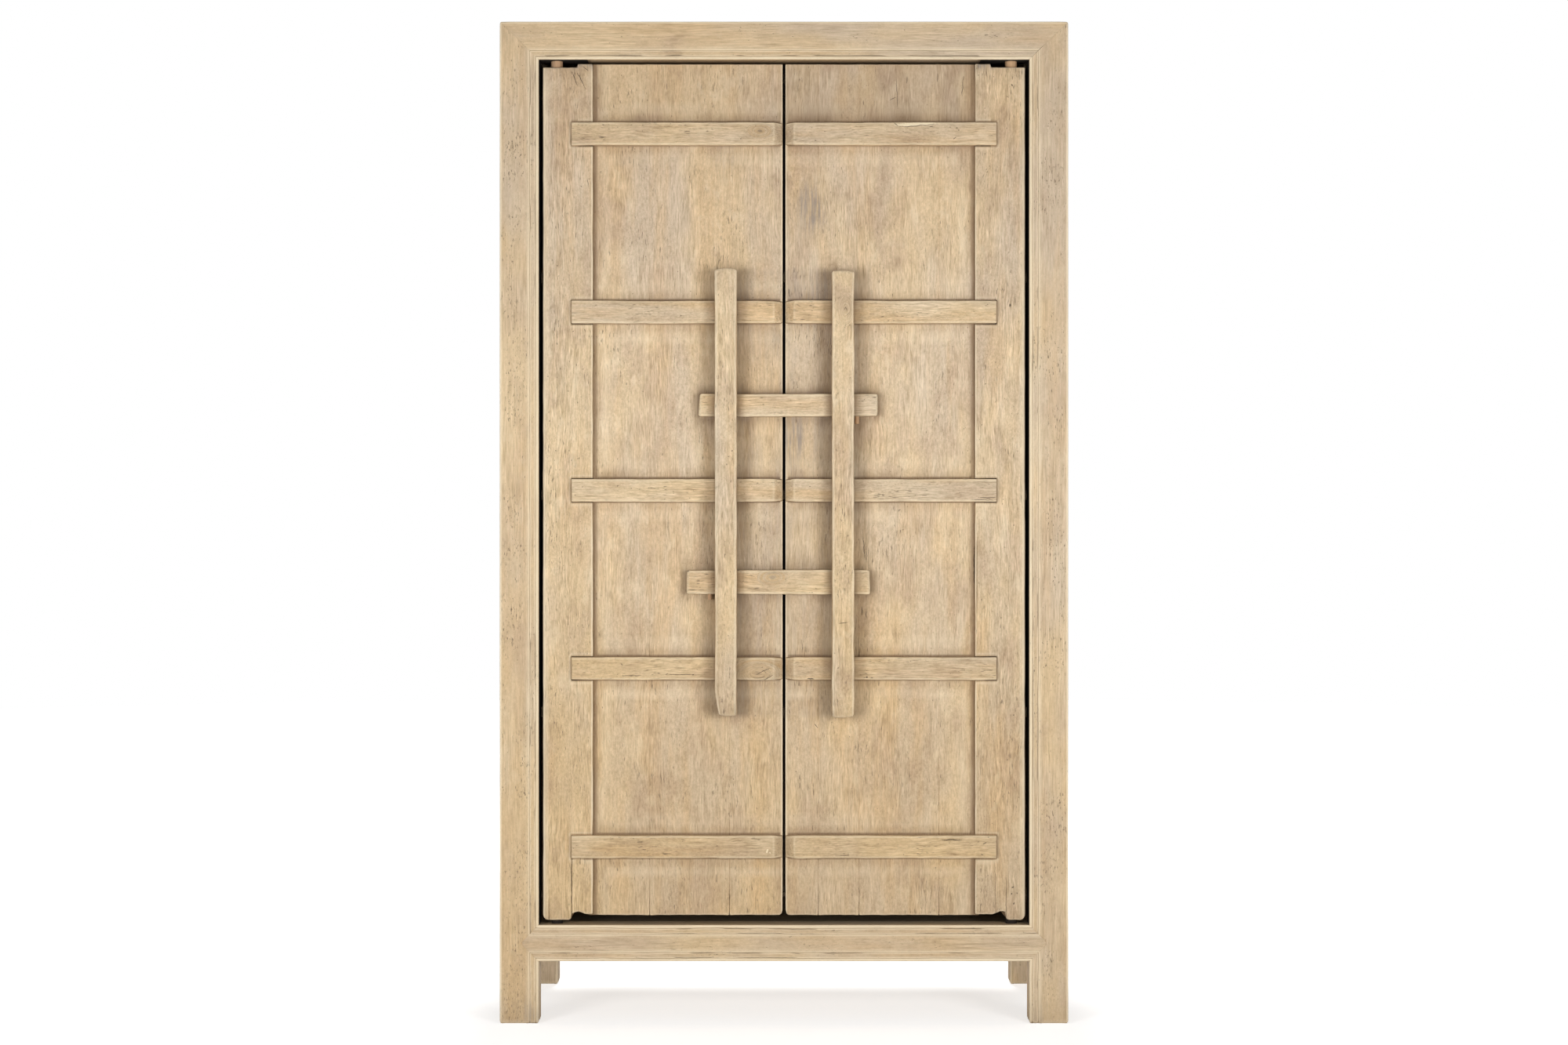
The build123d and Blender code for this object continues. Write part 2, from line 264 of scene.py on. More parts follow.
# %% Unevenness
def scatter(cells, seed):
    """A number from -1 to 1 for each whole cell, the same in every run."""
    mixed = cells[:, 0] * 374761393 + cells[:, 1] * 668265263 + cells[:, 2] * 2147483629 + seed * 1442695041
    mixed = (mixed ^ (mixed >> 13)) * 1274126177 & 0xFFFFFFFF
    mixed = (mixed ^ (mixed >> 15)) * 2246822519 & 0xFFFFFFFF
    return ((mixed ^ (mixed >> 16)) & 0xFFFF) / 32767.5 - 1


def unevenness(points, cell, seed):
    """Smooth swells from -1 to 1 at each point, each about one cell long. A cell is one length or three."""
    scaled = points / np.asarray(cell, float) + 0.5
    corner = np.floor(scaled).astype(np.int64)
    part = scaled - corner
    part = part * part * (3 - 2 * part)
    total = np.zeros(len(points))
    for step in np.ndindex(2, 2, 2):
        weight = np.ones(len(points))
        for axis in range(3):
            weight *= part[:, axis] if step[axis] else 1 - part[:, axis]
        total += weight * scatter(corner + np.array(step), seed)
    return total


def swells(points, cell, seed):
    """The same unevenness from 0 to 1."""
    return 0.5 + 0.5 * unevenness(points, cell, seed)


def fade(distance, reach):
    """1 at no distance, falling smoothly to 0 at the reach."""
    share = np.clip(1 - np.asarray(distance, float) / reach, 0, 1)
    return share * share * (3 - 2 * share)


print("swells run from", unevenness(np.random.default_rng(1).random((500, 3)), 0.1, 3).min().round(2))

# %% [markdown]
# ## The outline of a timber
# A timber is an outline drawn along a run. The outline is a list of corners, each with its own radius: a
# worn arris is a small arc, and a scratched moulding is a few corners that dip. Turning left at a corner
# means that it stands proud and wears pale, and turning right means a groove that fills with dark glaze.

# %% The outline
ARC_STEPS = 4
GUARD = 0.0022
PLAIN_JOINT = 0.0001


def outline(corners, spacing):
    """The points round a closed outline with rounded corners, their outward directions and their turn.

    corners are (u, v, radius), anticlockwise. The turn is 1 on a proud corner, 0 on a flat or where two
    boards are glued, which a radius under PLAIN_JOINT says, and -1 in a groove."""
    places = np.array([corner[:2] for corner in corners], float)
    points, turns = [], []
    for index, (_, _, radius) in enumerate(corners):
        here, before, after = places[index], places[index - 1], places[(index + 1) % len(corners)]
        toward = (here - before) / np.linalg.norm(here - before)
        onward = (after - here) / np.linalg.norm(after - here)
        cross = toward[0] * onward[1] - toward[1] * onward[0]
        angle = math.atan2(cross, float(toward @ onward))
        reach = abs(radius * math.tan(angle / 2))
        steps = ARC_STEPS if reach > 1e-5 else 0
        for step in range(steps + 1):
            share = step / steps if steps else 0.5
            first = here - toward * reach * (1 - share)
            second = here + onward * reach * share
            points.append(first + (second - first) * share if steps else here)
            turns.append(0.0 if abs(angle) < 0.05 or radius < PLAIN_JOINT else math.copysign(1.0, angle))
        leaves = here + onward * reach
        next_radius = corners[(index + 1) % len(corners)][2]
        beyond = places[(index + 2) % len(corners)] - after
        beyond = beyond / np.linalg.norm(beyond)
        next_angle = math.atan2(onward[0] * beyond[1] - onward[1] * beyond[0], float(onward @ beyond))
        arrives = after - onward * abs(next_radius * math.tan(next_angle / 2))
        length = float(np.linalg.norm(arrives - leaves))
        for distance in flat_steps(length, spacing):
            points.append(leaves + onward * distance)
            turns.append(0.0)
    points = np.array(points)
    ahead = np.roll(points, -1, axis=0) - np.roll(points, 1, axis=0)
    normals = np.stack([ahead[:, 1], -ahead[:, 0]], axis=1)
    normals /= np.linalg.norm(normals, axis=1)[:, None]
    return points, normals, np.array(turns)


def flat_steps(length, spacing):
    """Distances along a flat: a guard close to each end, and even steps between."""
    if length < 2.5 * GUARD:
        return []
    count = max(1, math.ceil((length - 2 * GUARD) / spacing))
    return [GUARD + (length - 2 * GUARD) * step / count for step in range(count + 1)]


def box_corners(u_low, u_high, v_low, v_high, radius):
    """The corners of a plain rectangular timber, with one radius or four."""
    radii = radius if isinstance(radius, (tuple, list)) else (radius,) * 4
    places = [(u_low, v_low), (u_high, v_low), (u_high, v_high), (u_low, v_high)]
    return [(u, v, r) for (u, v), r in zip(places, radii)]


print("a plain leg has", len(outline(box_corners(0, 0.07, 0, 0.052, 0.002), 0.012)[0]), "points round it")

# %% [markdown]
# ## Drawing the outline along its run
# Each timber is rings of that outline joined by faces, closed at both ends. The ends can be mitred, ragged
# or rounded, so their place is a function of the point in the outline. Four values are kept at every point
# for the finish: wear on the proud edges, glaze where dirt gathers together with painted shade and shadow,
# grey stains, and checks where the pores lie open.

# %% The timber
AXES = {"X": (0, 1, 2), "Y": (1, 2, 0), "Z": (2, 0, 1)}
CAP_SHARES = (0.8, 0.55, 0.28)
JOINT_ROUND = 0.001
JOINT_DIRT = 0.03
END_FADE = 0.2
pieces_made = []


def as_function(end):
    """An end given as a number is the same for every point of the outline."""
    return end if callable(end) else (lambda u, v: np.full(np.shape(u), float(end)))


def stations(low, high, step, rounds, cuts):
    """Where the rings stand: close together at rounded ends and at cuts, and even between."""
    found = set()
    for round_length, end, inward in ((rounds[0], low, 1), (rounds[1], high, -1)):
        for share in (0, 0.12, 0.4, 1, 1.8):
            found.add(round(end + inward * share * round_length, 6))
    count = max(2, math.ceil((high - low) / step))
    margin = max(rounds) * 2
    plain = [low + (high - low) * index / count for index in range(1, count)]
    wanted = sorted(round(cut, 6) for cut in cuts if low + margin < cut < high - margin)
    for place in plain:
        if low + margin < place < high - margin and all(abs(place - cut) > step * 0.3 for cut in wanted):
            found.add(round(place, 6))
    return np.array(sorted(found | set(wanted)))


class Timber:
    """One timber being made: its rings, its ends and what is kept at each point."""

    def __init__(self, run, corners, low, high, spacing, step, rounds, cuts=()):
        self.axis, self.first, self.second = AXES[run]
        self.section, self.normals, self.turns = outline(corners, spacing)
        self.low_end, self.high_end = as_function(low), as_function(high)
        u, v = self.section.T
        self.low, self.high = float(self.low_end(u, v).min()), float(self.high_end(u, v).max())
        self.rounds = rounds
        self.places = stations(self.low, self.high, step, rounds, cuts)
        self.middle = (self.section.min(axis=0) + self.section.max(axis=0)) / 2
        self.points, self.outward, self.turn = [], [], []
        self.add_cap(self.low, 0)
        for place in self.places:
            self.add_ring(place)
        self.add_cap(self.high, -1)
        self.points, self.outward = np.concatenate(self.points), np.concatenate(self.outward)
        self.turn = np.concatenate(self.turn)

    def shrink(self, place):
        """How far a ring draws in where the end is rounded."""
        drawn = 0.0
        for radius, distance in ((self.rounds[0], place - self.low), (self.rounds[1], self.high - place)):
            if distance < radius:
                drawn = max(drawn, radius - math.sqrt(max(0.0, radius**2 - (radius - distance) ** 2)))
        return drawn

    def end_shift(self, u, v, place):
        """How far the ends' own shape moves a ring's points along the run."""
        low_shift = (self.low_end(u, v) - self.low) * fade(place - self.low, END_FADE)
        high_shift = (self.high_end(u, v) - self.high) * fade(self.high - place, END_FADE)
        return low_shift + high_shift

    def put(self, flat, along, outward, turn):
        placed = np.zeros((len(flat), 3))
        placed[:, self.first], placed[:, self.second], placed[:, self.axis] = flat[:, 0], flat[:, 1], along
        pointing = np.zeros((len(flat), 3))
        pointing[:, self.first], pointing[:, self.second] = outward[:, 0], outward[:, 1]
        self.points.append(placed)
        self.outward.append(pointing)
        self.turn.append(turn)

    def add_ring(self, place):
        drawn = self.shrink(place)
        flat = self.section - self.normals * drawn
        along = place + self.end_shift(*self.section.T, place)
        turn = self.turns
        for radius, distance in ((self.rounds[0], place - self.low), (self.rounds[1], self.high - place)):
            rim = fade(distance, radius * 1.5)
            if radius > JOINT_ROUND:
                turn = np.where(turn < 0, turn, np.maximum(turn, rim))
            elif rim > 0.5:
                turn = np.full(len(turn), -JOINT_DIRT)
        self.put(flat, along, self.normals, turn)

    def add_cap(self, place, which):
        """The inner rings of one end, and its centre point."""
        drawn = self.shrink(place)
        rim = self.section - self.normals * drawn
        shares = CAP_SHARES[::-1] if which == 0 else CAP_SHARES
        rings = [self.middle + (rim - self.middle) * share for share in shares]
        centre = self.middle[None, :]
        for flat in [centre] + rings if which == 0 else rings + [centre]:
            along = place + self.end_shift(*flat.T, place)
            self.put(flat, along, np.zeros_like(flat), np.zeros(len(flat)))

    def faces(self):
        """Quads between the rings, and triangles round the two centre points."""
        count = len(self.section)
        rings = len(self.places) + 2 * len(CAP_SHARES)
        start = 1
        found = [(0, start + (i + 1) % count, start + i) for i in range(count)]
        for ring in range(rings - 1):
            near, far = start + ring * count, start + (ring + 1) * count
            for i in range(count):
                following = (i + 1) % count
                found.append((near + i, near + following, far + following, far + i))
        last = start + (rings - 1) * count
        found += [(last + i, last + (i + 1) % count, last + count) for i in range(count)]
        return found


def store(mesh, name, values):
    attribute = mesh.attributes.new(name, "FLOAT", "POINT")
    attribute.data.foreach_set("value", np.clip(values, 0, 1).astype(np.float32))


def finish_piece(name, node, points, faces, material, slot, side, kept):
    """Makes the mesh, hides the plain solid that it stands for, and hangs the piece on that solid's body."""
    if side == LEFT:
        points = points * np.array([-1, 1, 1])
        faces = [face[::-1] for face in faces]
    mesh = bpy.data.meshes.new(name)
    mesh.from_pydata(points.tolist(), [], faces)
    mesh.polygons.foreach_set("use_smooth", [True] * len(mesh.polygons))
    for kind, values in kept.items():
        store(mesh, kind, values)
    mesh.materials.append(material)
    piece = bpy.data.objects.new(name, mesh)
    bpy.context.scene.collection.objects.link(piece)
    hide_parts(node)
    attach(piece, frame["nodes"][node]["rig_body"])
    pieces_made.append(piece)


def make_timber(node, run, corners, low, high, material, slot, seed, side=RIGHT, spacing=0.012, step=0.014,
                rounds=(0.0015, 0.0015), cuts=(), hewn=0.0003, nicked=0.0004, shape=None, glaze_and_shade=None,
                stain=None, rub=None, checks=None, worn=1.0, grooved=1.0):
    """A timber that stands for one node. Sizes are those of the right side, and the left is its mirror."""
    timber = Timber(run, corners, low, high, spacing, step, rounds, cuts)
    points, outward, turn = timber.points, timber.outward, timber.turn
    long_cell = np.full(3, 0.045)
    long_cell[timber.axis] = 0.22
    short_cell = np.full(3, 0.012)
    short_cell[timber.axis] = 0.03
    swell = swells(points, long_cell, seed)
    nick = np.maximum(0, 0.4 + unevenness(points, short_cell, seed + 1)) * np.maximum(turn, 0)
    points = points - outward * (hewn * swell + nicked * nick)[:, None]
    if shape:
        points = shape(points, outward)
    kept = {"wear": worn * np.maximum(turn, 0), "glaze_and_shade": grooved * np.maximum(-turn, 0)}
    kept["stain"] = stain(points) if stain else np.zeros(len(points))
    kept["checks"] = checks(points) if checks else np.zeros(len(points))
    if glaze_and_shade:
        kept["glaze_and_shade"] = np.maximum(kept["glaze_and_shade"], glaze_and_shade(points, outward))
    if rub:
        kept["wear"] = np.maximum(kept["wear"], rub(points, outward))
    finish_piece(f"{node}_timber", node, points, timber.faces(), material, slot, side, kept)


print("timber builder ready")


# %% [markdown]
# ## The finish: bleached elm
# The wood is bleached, washed with a warm pale glaze and rubbed back. Five things make it read as elm: slow
# patches of cream and ochre, streaks along the grain, the flame lines of the growth rings, short dark pore
# dashes in clusters, and dark glaze in every recess with pale rubbed edges. The same dark colour also paints
# shade and shadow: brown beside the parts that stand proud, and black in the gaps. The patterns are
# stretched along the grain, so the same recipe serves every timber in three directions.

# %% Colours of the finish
SAND = (0.690, 0.530, 0.332, 1)
PUTTY = (0.615, 0.495, 0.360, 1)
HONEY = (0.625, 0.435, 0.240, 1)
BLUSH = (0.560, 0.410, 0.290, 1)
RUBBED = (0.900, 0.770, 0.560, 1)
# Brown of the glaze, which also serves as painted shadow beside the battens, the stile, the bars and the
# bolts.
GLAZE_AND_SHADOW_BROWN = (0.165, 0.098, 0.050, 1)
SMUDGE = (0.350, 0.240, 0.140, 1)
# Black of slits and cracks, which also serves as painted shade in the dark gaps round the doors.
SLIT_AND_SHADE_BLACK = (0.012, 0.008, 0.005, 1)
PORE = (0.15, 0.110, 0.070, 1)
KNOT_HEART = (0.200, 0.150, 0.105, 1)
GREY_STAIN = (0.235, 0.205, 0.190, 1)
DEEP_LINE = (0.50, 0.46, 0.36, 1)
PALE_LINE = (1.50, 1.54, 1.64, 1)
LOWER_TINT = (0.875, 0.828, 0.742, 1)
UPPER_TINT = (0.895, 0.870, 0.860, 1)
WHITE = (1, 1, 1, 1)
print("sand", SAND[:3], "glaze_and_shade", GLAZE_AND_SHADOW_BROWN[:3])


# %% Bleached elm
def grainwise(grain, across, along):
    """A stretch for patterns: so many cells to the metre across the grain and along it."""
    return tuple(along if axis == grain else across for axis in "XYZ")


def kept_value(tree, name):
    return tree.node("ShaderNodeAttribute", {"attribute_name": name})["Fac"]


def bent_place(tree, place, grain, across, along, bend):
    """The place moved sideways by noise, so that the grain wanders as in a real plank."""
    stretched = tree.vector("MULTIPLY", place, grainwise(grain, across, along))
    inputs = {"Vector": stretched, "Scale": 1.0, "Detail": 1.0}
    cloud = tree.node("ShaderNodeTexNoise", None, inputs)["Color"]
    return tree.vector("MULTIPLY_ADD", cloud, grainwise(grain, bend, 0.0), place)


KNOT_SPREAD = 2.6
KNOT_SQUEEZE = 0.55
KNOT_SWEEP = 0.75
KNOT_GRAIN = (120.0, 60.0)


def round_knots(tree, place, grain, knots):
    """The place with the grain swept round each knot, the knots' dark hearts and the rings about them.

    A knot is its x, its height, its size and how dark its heart is. Its y isn't asked, since each finish
    serves one layer of timber."""
    hearts, rings = 0.0, 0.0
    flat = grainwise(grain, 1.0, KNOT_SQUEEZE)
    flat = (flat[0], 0.0, flat[2])
    for x, z, size, darkness in knots:
        offset = tree.vector("SUBTRACT", place, (x, 0.0, z))
        reach = tree.vector("LENGTH", tree.vector("MULTIPLY", offset, flat)) / size
        near = reach.between(KNOT_SPREAD * 1.6, 0.6)
        inputs = {0: offset, "Scale": near * KNOT_SWEEP}
        swept = tree.node("ShaderNodeVectorMath", {"operation": "SCALE"}, inputs)[0]
        place = tree.vector("SUBTRACT", place, swept)
        uneven = reach + 1.3 * tree.noise(place, grainwise(grain, *KNOT_GRAIN), 3.0, 0.65) - 0.4
        hearts = hearts + uneven.between(1.15, 0.70) * darkness
        ring = abs((uneven * 1.7).fraction() - 0.5) * 2.0
        rings = rings + ring.between(0.62, 0.95) * reach.between(KNOT_SPREAD, 1.0)
    return place, hearts, rings


MARK_SWAY = 0.0034
MARK_WANDER = (110.0, 90.0)
MARK_ROUGHNESS = (500.0, 500.0, 500.0)


def small_marks(tree, place, grain, marks):
    """Slits, holes, saw marks and slivers: each a middle in x and z, two half sizes and a lean in degrees."""
    found = 0.0
    if not marks:
        return found
    swayed = bent_place(tree, place, grain, *MARK_WANDER, MARK_SWAY)
    middle = grainwise(grain, MARK_SWAY / 2, 0.0)
    rough = tree.noise(place, MARK_ROUGHNESS, 2.0, 0.7)
    for x, z, half_x, half_z, lean in marks:
        centre = (x + middle[0], 0.0, z + middle[2])
        offset = tree.vector("SUBTRACT", swayed, centre)
        cosine, sine = math.cos(math.radians(lean)), math.sin(math.radians(lean))
        across = tree.vector("DOT_PRODUCT", offset, (cosine / half_x, 0.0, -sine / half_x))
        along = tree.vector("DOT_PRODUCT", offset, (sine / half_z, 0.0, cosine / half_z))
        reach = (across * across + along * along) ** 0.5
        found = found + (reach + 1.2 * (rough - 0.5)).between(1.20, 0.70)
    return found


# Each pattern: its cells to the metre across the grain and along it, its detail and its roughness.
PATTERNS = {
    "patch": (7.0, 2.6, 3.0, 0.60), "smudge": (48.0, 24.0, 4.0, 0.62), "warm": (22.0, 3.0, 3.0, 0.60),
    "cloud": (16.0, 9.0, 4.0, 0.62), "lively": (19.0, 8.0, 2.0, 0.50), "streak": (210.0, 11.0, 3.0, 0.65),
    "fibre": (480.0, 38.0, 2.0, 0.60), "speckle": (330.0, 170.0, 3.0, 0.70), "growth": (9.0, 0.9, 1.0, 0.40),
    "cluster": (22.0, 10.0, 3.0, 0.65), "tick": (460.0, 1.0, 2.0, 0.60), "pit": (260.0, 150.0, 1.0, 0.50),
    "open grain": (420.0, 9.0, 2.0, 0.60), "open patches": (30.0, 5.0, 2.0, 0.60)}
RINGS_PER_SWELL = 34.0
LOWER_HEIGHTS = (1.12, 0.34)
UPPER_HEIGHTS = (1.15, 1.60)
RELIEF_HEIGHT = 0.0010
SPECULAR = 0.32


def elm(name, grain, tone=1.0, honey=0.5, bands=0.5, pores=0.5, streaks=0.5, mottle=0.5, run=1.0,
        roughness=0.62, bend=1.0, lines=0.0, lower=1.0, ticks=60.0, tint=(1.0, 1.0, 1.0), knots=(), marks=(),
        slivers=()):
    """Bleached elm with its grain along one axis. Each pattern's strength runs from 0 to about 1.

    run is how long the lines of the grain go on: 1 in old hewn boards, less than 1 for longer lines. bend is
    how much they wander, lines adds crisp open grain, ticks is the pores' cells to the metre along the grain,
    and lower browns the wood towards the floor and the top, where hands rub it less."""
    material = bpy.data.materials.new(name)
    tree = Tree(material)
    place = tree.node("ShaderNodeTexCoord")["Object"]
    height = tree.node("ShaderNodeSeparateXYZ", None, {0: place})["Z"]
    swept, hearts, rings = round_knots(tree, place, grain, knots)
    wandering = bent_place(tree, swept, grain, 5.0, 1.4, (0.012 + 0.02 * mottle) * bend)
    bent = bent_place(tree, wandering, grain, 45.0, 24.0, (0.003 + 0.003 * mottle) * bend)
    wear, glaze_and_shade, stain, checks = (kept_value(tree, kind) for kind in ("wear", "glaze_and_shade", "stain", "checks"))

    def pattern(kind, where, stretch=1.0):
        across, along, detail, coarseness = PATTERNS[kind]
        return tree.noise(where, grainwise(grain, across, along * stretch), detail, coarseness)

    patch = pattern("patch", place)
    smudge = pattern("smudge", wandering)
    warm = pattern("warm", wandering)
    cloud = pattern("cloud", place)
    lively = pattern("lively", place).between(0.36, 0.64)
    streak = pattern("streak", bent, run)
    fibre = pattern("fibre", bent, run)
    speckle = pattern("speckle", place)
    growth = pattern("growth", wandering)
    band = abs((growth * RINGS_PER_SWELL).fraction() - 0.5) * 2.0
    cluster = pattern("cluster", place)
    tick = pattern("tick", bent, ticks) + 0.045 * checks
    pore = tick.between(0.61, 0.76) * (cluster + 0.10 * checks).between(0.48, 0.64)
    pit = pattern("pit", place).between(0.73, 0.80)
    open_grain = pattern("open grain", bent).between(0.56, 0.68)
    open_grain = open_grain * pattern("open patches", place).between(0.40, 0.62)

    colour = tree.blend(patch.between(0.36, 0.62), SAND, PUTTY)
    colour = tree.blend(warm.between(0.42, 0.68) * honey, colour, HONEY)
    colour = tree.blend(cloud.between(0.48, 0.70) * mottle * 0.55, colour, BLUSH)
    shade = 0.5 + streaks * (0.62 * (streak - 0.5) + 1.15 * (fibre - 0.5)) * (0.45 + 1.1 * lively)
    shade = shade + mottle * (0.60 * (speckle - 0.5) * (1.5 - lively) + 0.40 * (0.5 - cloud))
    shade = shade + bands * 0.24 * (band - 0.5) * warm.between(0.35, 0.65) - 0.09 * rings
    colour = tree.blend(1.0, colour, tree.blend(shade, DEEP_LINE, PALE_LINE), "MULTIPLY")
    colour = tree.blend(smudge.between(0.55, 0.74) * mottle * 0.42, colour, SMUDGE)
    colour = tree.blend(smudge.between(0.46, 0.30) * mottle * 0.30, colour, RUBBED)
    browned = tree.blend(1.0, colour, LOWER_TINT, "MULTIPLY")
    colour = tree.blend(height.between(*LOWER_HEIGHTS) * lower, colour, browned)
    dimmed = tree.blend(1.0, colour, UPPER_TINT, "MULTIPLY")
    colour = tree.blend(height.between(*UPPER_HEIGHTS) * lower, colour, dimmed)
    colour = tree.blend(open_grain * lines, colour, SMUDGE)
    colour = tree.blend((pore * pores * 1.2).at_most(0.75), colour, PORE)
    colour = tree.blend(pit * (0.2 + 0.4 * mottle), colour, PORE)
    colour = tree.blend(hearts * (0.35 + 0.6 * speckle), colour, KNOT_HEART)
    rubbed = (wear * (0.25 + 1.1 * streak) * 0.9).at_most(1.0)
    colour = tree.blend(rubbed, colour, RUBBED)
    # Glaze and painted shade: the kept value mixes in brown, and at its top end the black of the shaded gaps.
    glaze_and_shade_mix = (glaze_and_shade * (0.52 + 0.42 * streak + 0.54 * speckle)).at_most(0.92)
    colour = tree.blend(glaze_and_shade_mix, colour, GLAZE_AND_SHADOW_BROWN)
    colour = tree.blend(glaze_and_shade.between(0.84, 0.98), colour, SLIT_AND_SHADE_BLACK)
    grey = (stain * (0.1 + 1.4 * cloud * streak.between(0.35, 0.65))).at_most(0.8)
    colour = tree.blend(grey, colour, GREY_STAIN)
    if slivers:
        colour = tree.blend(small_marks(tree, place, grain, slivers).at_most(0.8), colour, RUBBED)
    slit = small_marks(tree, place, grain, marks)
    if marks:
        colour = tree.blend(slit.at_most(0.72), colour, SLIT_AND_SHADE_BLACK)
    shaded = tuple(tone * part for part in tint) + (1,)
    colour = tree.blend(1.0, colour, shaded, "MULTIPLY")

    relief = fibre * 0.5 + streak * 0.8 + band * 0.16 * bands - pore * 1.0 - pit * 1.5
    relief = relief + speckle * 0.7 * mottle - open_grain * lines * 1.2 - hearts * 1.0 - slit * 1.5
    relief = relief + (smudge - 0.5) * 1.2 * mottle
    inputs = {"Height": relief, "Strength": 0.6, "Distance": RELIEF_HEIGHT}
    bump = tree.node("ShaderNodeBump", None, inputs)["Normal"]
    sheen = (roughness + 0.2 * (speckle - 0.5) + 0.14 * glaze_and_shade + 0.1 * pore - 0.08 * wear).at_most(0.95)
    inputs = {"Base Color": colour, "Roughness": sheen, "Normal": bump, "Specular IOR Level": SPECULAR}
    surface = tree.node("ShaderNodeBsdfPrincipled", None, inputs)["BSDF"]
    tree.node("ShaderNodeOutputMaterial", None, {"Surface": surface})
    return material


# A knot is its x, its height, its size and the darkness of its heart. A mark or a sliver is its x, its
# height, half its width, half its length and its lean.
CROSSWISE_KNOTS = [
    (-0.0434, 1.5946, 0.0036, 0.8), (-0.0468, 0.6244, 0.0080, 0.40),
    (-0.0200, 0.7970, 0.0040, 0.7)]
UPRIGHT_KNOTS = [(0.1098, 1.2742, 0.0045, 0.15)]
CROSSWISE_MARKS = [
    (0.0476, 0.6160, 0.0060, 0.0009, 0), (0.1480, 0.6188, 0.0017, 0.0014, 0),
    (0.1568, 0.6174, 0.0026, 0.0006, 0), (0.3640, 0.9395, 0.0150, 0.0007, 0),
    (0.3570, 0.9355, 0.0220, 0.0005, 1), (0.2380, 1.6042, 0.0330, 0.0006, -4),
    (0.2000, 1.6068, 0.0006, 0.0050, -52), (0.3087, 1.6002, 0.0015, 0.0008, 0),
    (0.3122, 1.5957, 0.0011, 0.0008, 0), (0.3052, 1.5820, 0.0006, 0.0032, 52),
    (0.2996, 0.3279, 0.0170, 0.0009, 0), (0.3584, 0.3215, 0.0008, 0.0040, 62),
    (0.3654, 0.3330, 0.0016, 0.0008, 0), (0.3540, 0.3010, 0.0022, 0.0008, 20),
    (-0.1834, 0.6232, 0.0240, 0.0005, 0), (-0.1624, 0.6228, 0.0016, 0.0009, 0),
    (-0.1736, 0.8080, 0.0040, 0.0007, 0), (-0.0380, 0.6290, 0.0130, 0.0005, -24),
    (-0.0290, 0.6170, 0.0120, 0.0005, -30)]
CROSSWISE_SLIVERS = [
    (0.2365, 1.6070, 0.0370, 0.0030, -3), (-0.0300, 0.3080, 0.0017, 0.0036, 20),
    (-0.0250, 0.3050, 0.0010, 0.0016, -10)]
UPRIGHT_MARKS = [
    (-0.3743, 1.6886, 0.0007, 0.0125, -19), (-0.3633, 1.6872, 0.0007, 0.0155, -27),
    (-0.3549, 1.7075, 0.0006, 0.0060, -54), (0.4082, 1.6778, 0.0011, 0.0022, -30),
    (0.4046, 1.2838, 0.0018, 0.0026, 0), (0.4096, 0.2423, 0.0012, 0.0020, 60),
    (0.4072, 0.2305, 0.0013, 0.0014, 0), (0.4119, 0.2131, 0.0013, 0.0020, 20),
    (0.4166, 0.2318, 0.0008, 0.0012, 0), (0.3978, 0.2241, 0.0005, 0.0380, 0),
    (0.3781, 0.2399, 0.0003, 0.0400, 0), (-0.3802, 0.2402, 0.0006, 0.0460, 0),
    (0.1045, 0.7168, 0.0075, 0.0006, -6), (0.1086, 1.2755, 0.0005, 0.0030, 24),
    (0.1112, 1.2738, 0.0005, 0.0024, -18)]
BOARD_MARKS = [
    (0.1400, 0.7364, 0.0008, 0.0080, 0), (0.1470, 0.7300, 0.0006, 0.0060, 0),
    (0.1432, 0.8483, 0.0007, 0.0220, -6), (0.1474, 0.8413, 0.0005, 0.0180, -4),
    (0.3199, 1.6767, 0.0006, 0.0180, 4), (0.2026, 1.6627, 0.0005, 0.0250, -4),
    (0.1952, 1.6543, 0.0005, 0.0060, 62), (0.2202, 1.6870, 0.0005, 0.0060, 0),
    (0.2747, 1.6922, 0.0005, 0.0070, 0), (0.0576, 0.5309, 0.0006, 0.0045, -38),
    (0.3409, 0.8174, 0.0011, 0.0340, 0)]

FRAME_PORES = {"X": 0.8, "Y": 0.8, "Z": 1.1}
frame_elm = {axis: elm(f"frame_elm_{axis}", axis, tone=0.95, honey=0.45, bands=0.25, pores=FRAME_PORES[axis],
                       streaks=0.50, mottle=0.60, run=0.75, bend=0.22, lines=0.12, lower=0.55, ticks=120.0,
                       tint=(1.0, 0.985, 0.955)) for axis in "XYZ"}
old_elm = {"X": elm("old_elm_X", "X", tone=0.97, honey=0.70, bands=0.5, pores=0.8, streaks=0.75, mottle=0.9,
                    tint=(1.0, 0.985, 0.935), knots=CROSSWISE_KNOTS, marks=CROSSWISE_MARKS,
                    slivers=CROSSWISE_SLIVERS),
           "Z": elm("old_elm_Z", "Z", tone=0.965, honey=0.55, bands=0.5, pores=0.8, streaks=0.75, mottle=1.0,
                    tint=(1.0, 0.99, 0.965), knots=UPRIGHT_KNOTS, marks=UPRIGHT_MARKS)}
panel_elm = elm("panel_elm", "Z", tone=1.01, honey=0.50, bands=0.35, pores=0.75, streaks=0.65, mottle=1.0,
                tint=(1.0, 0.99, 0.965), marks=BOARD_MARKS)
inner_elm = {axis: elm(f"inner_elm_{axis}", axis, tone=0.88, honey=0.5, mottle=0.4, run=0.5, lower=0.0)
             for axis in "XYZ"}
bare_dowel = elm("bare_dowel", "Z", tone=0.72, honey=0.9, bands=0.4, pores=0.3, mottle=0.2, roughness=0.7,
                 lower=0.0, tint=(1.10, 0.90, 0.78))
print("finishes:", ", ".join(material.name for material in bpy.data.materials))

# %% [markdown]
# ## The frame
# The front frame carries a scratched moulding along the opening: a small bead, a quirk, a flat band and a
# second quirk. The same list of corners makes it on the legs, the top rail and both edges of the bottom rail.

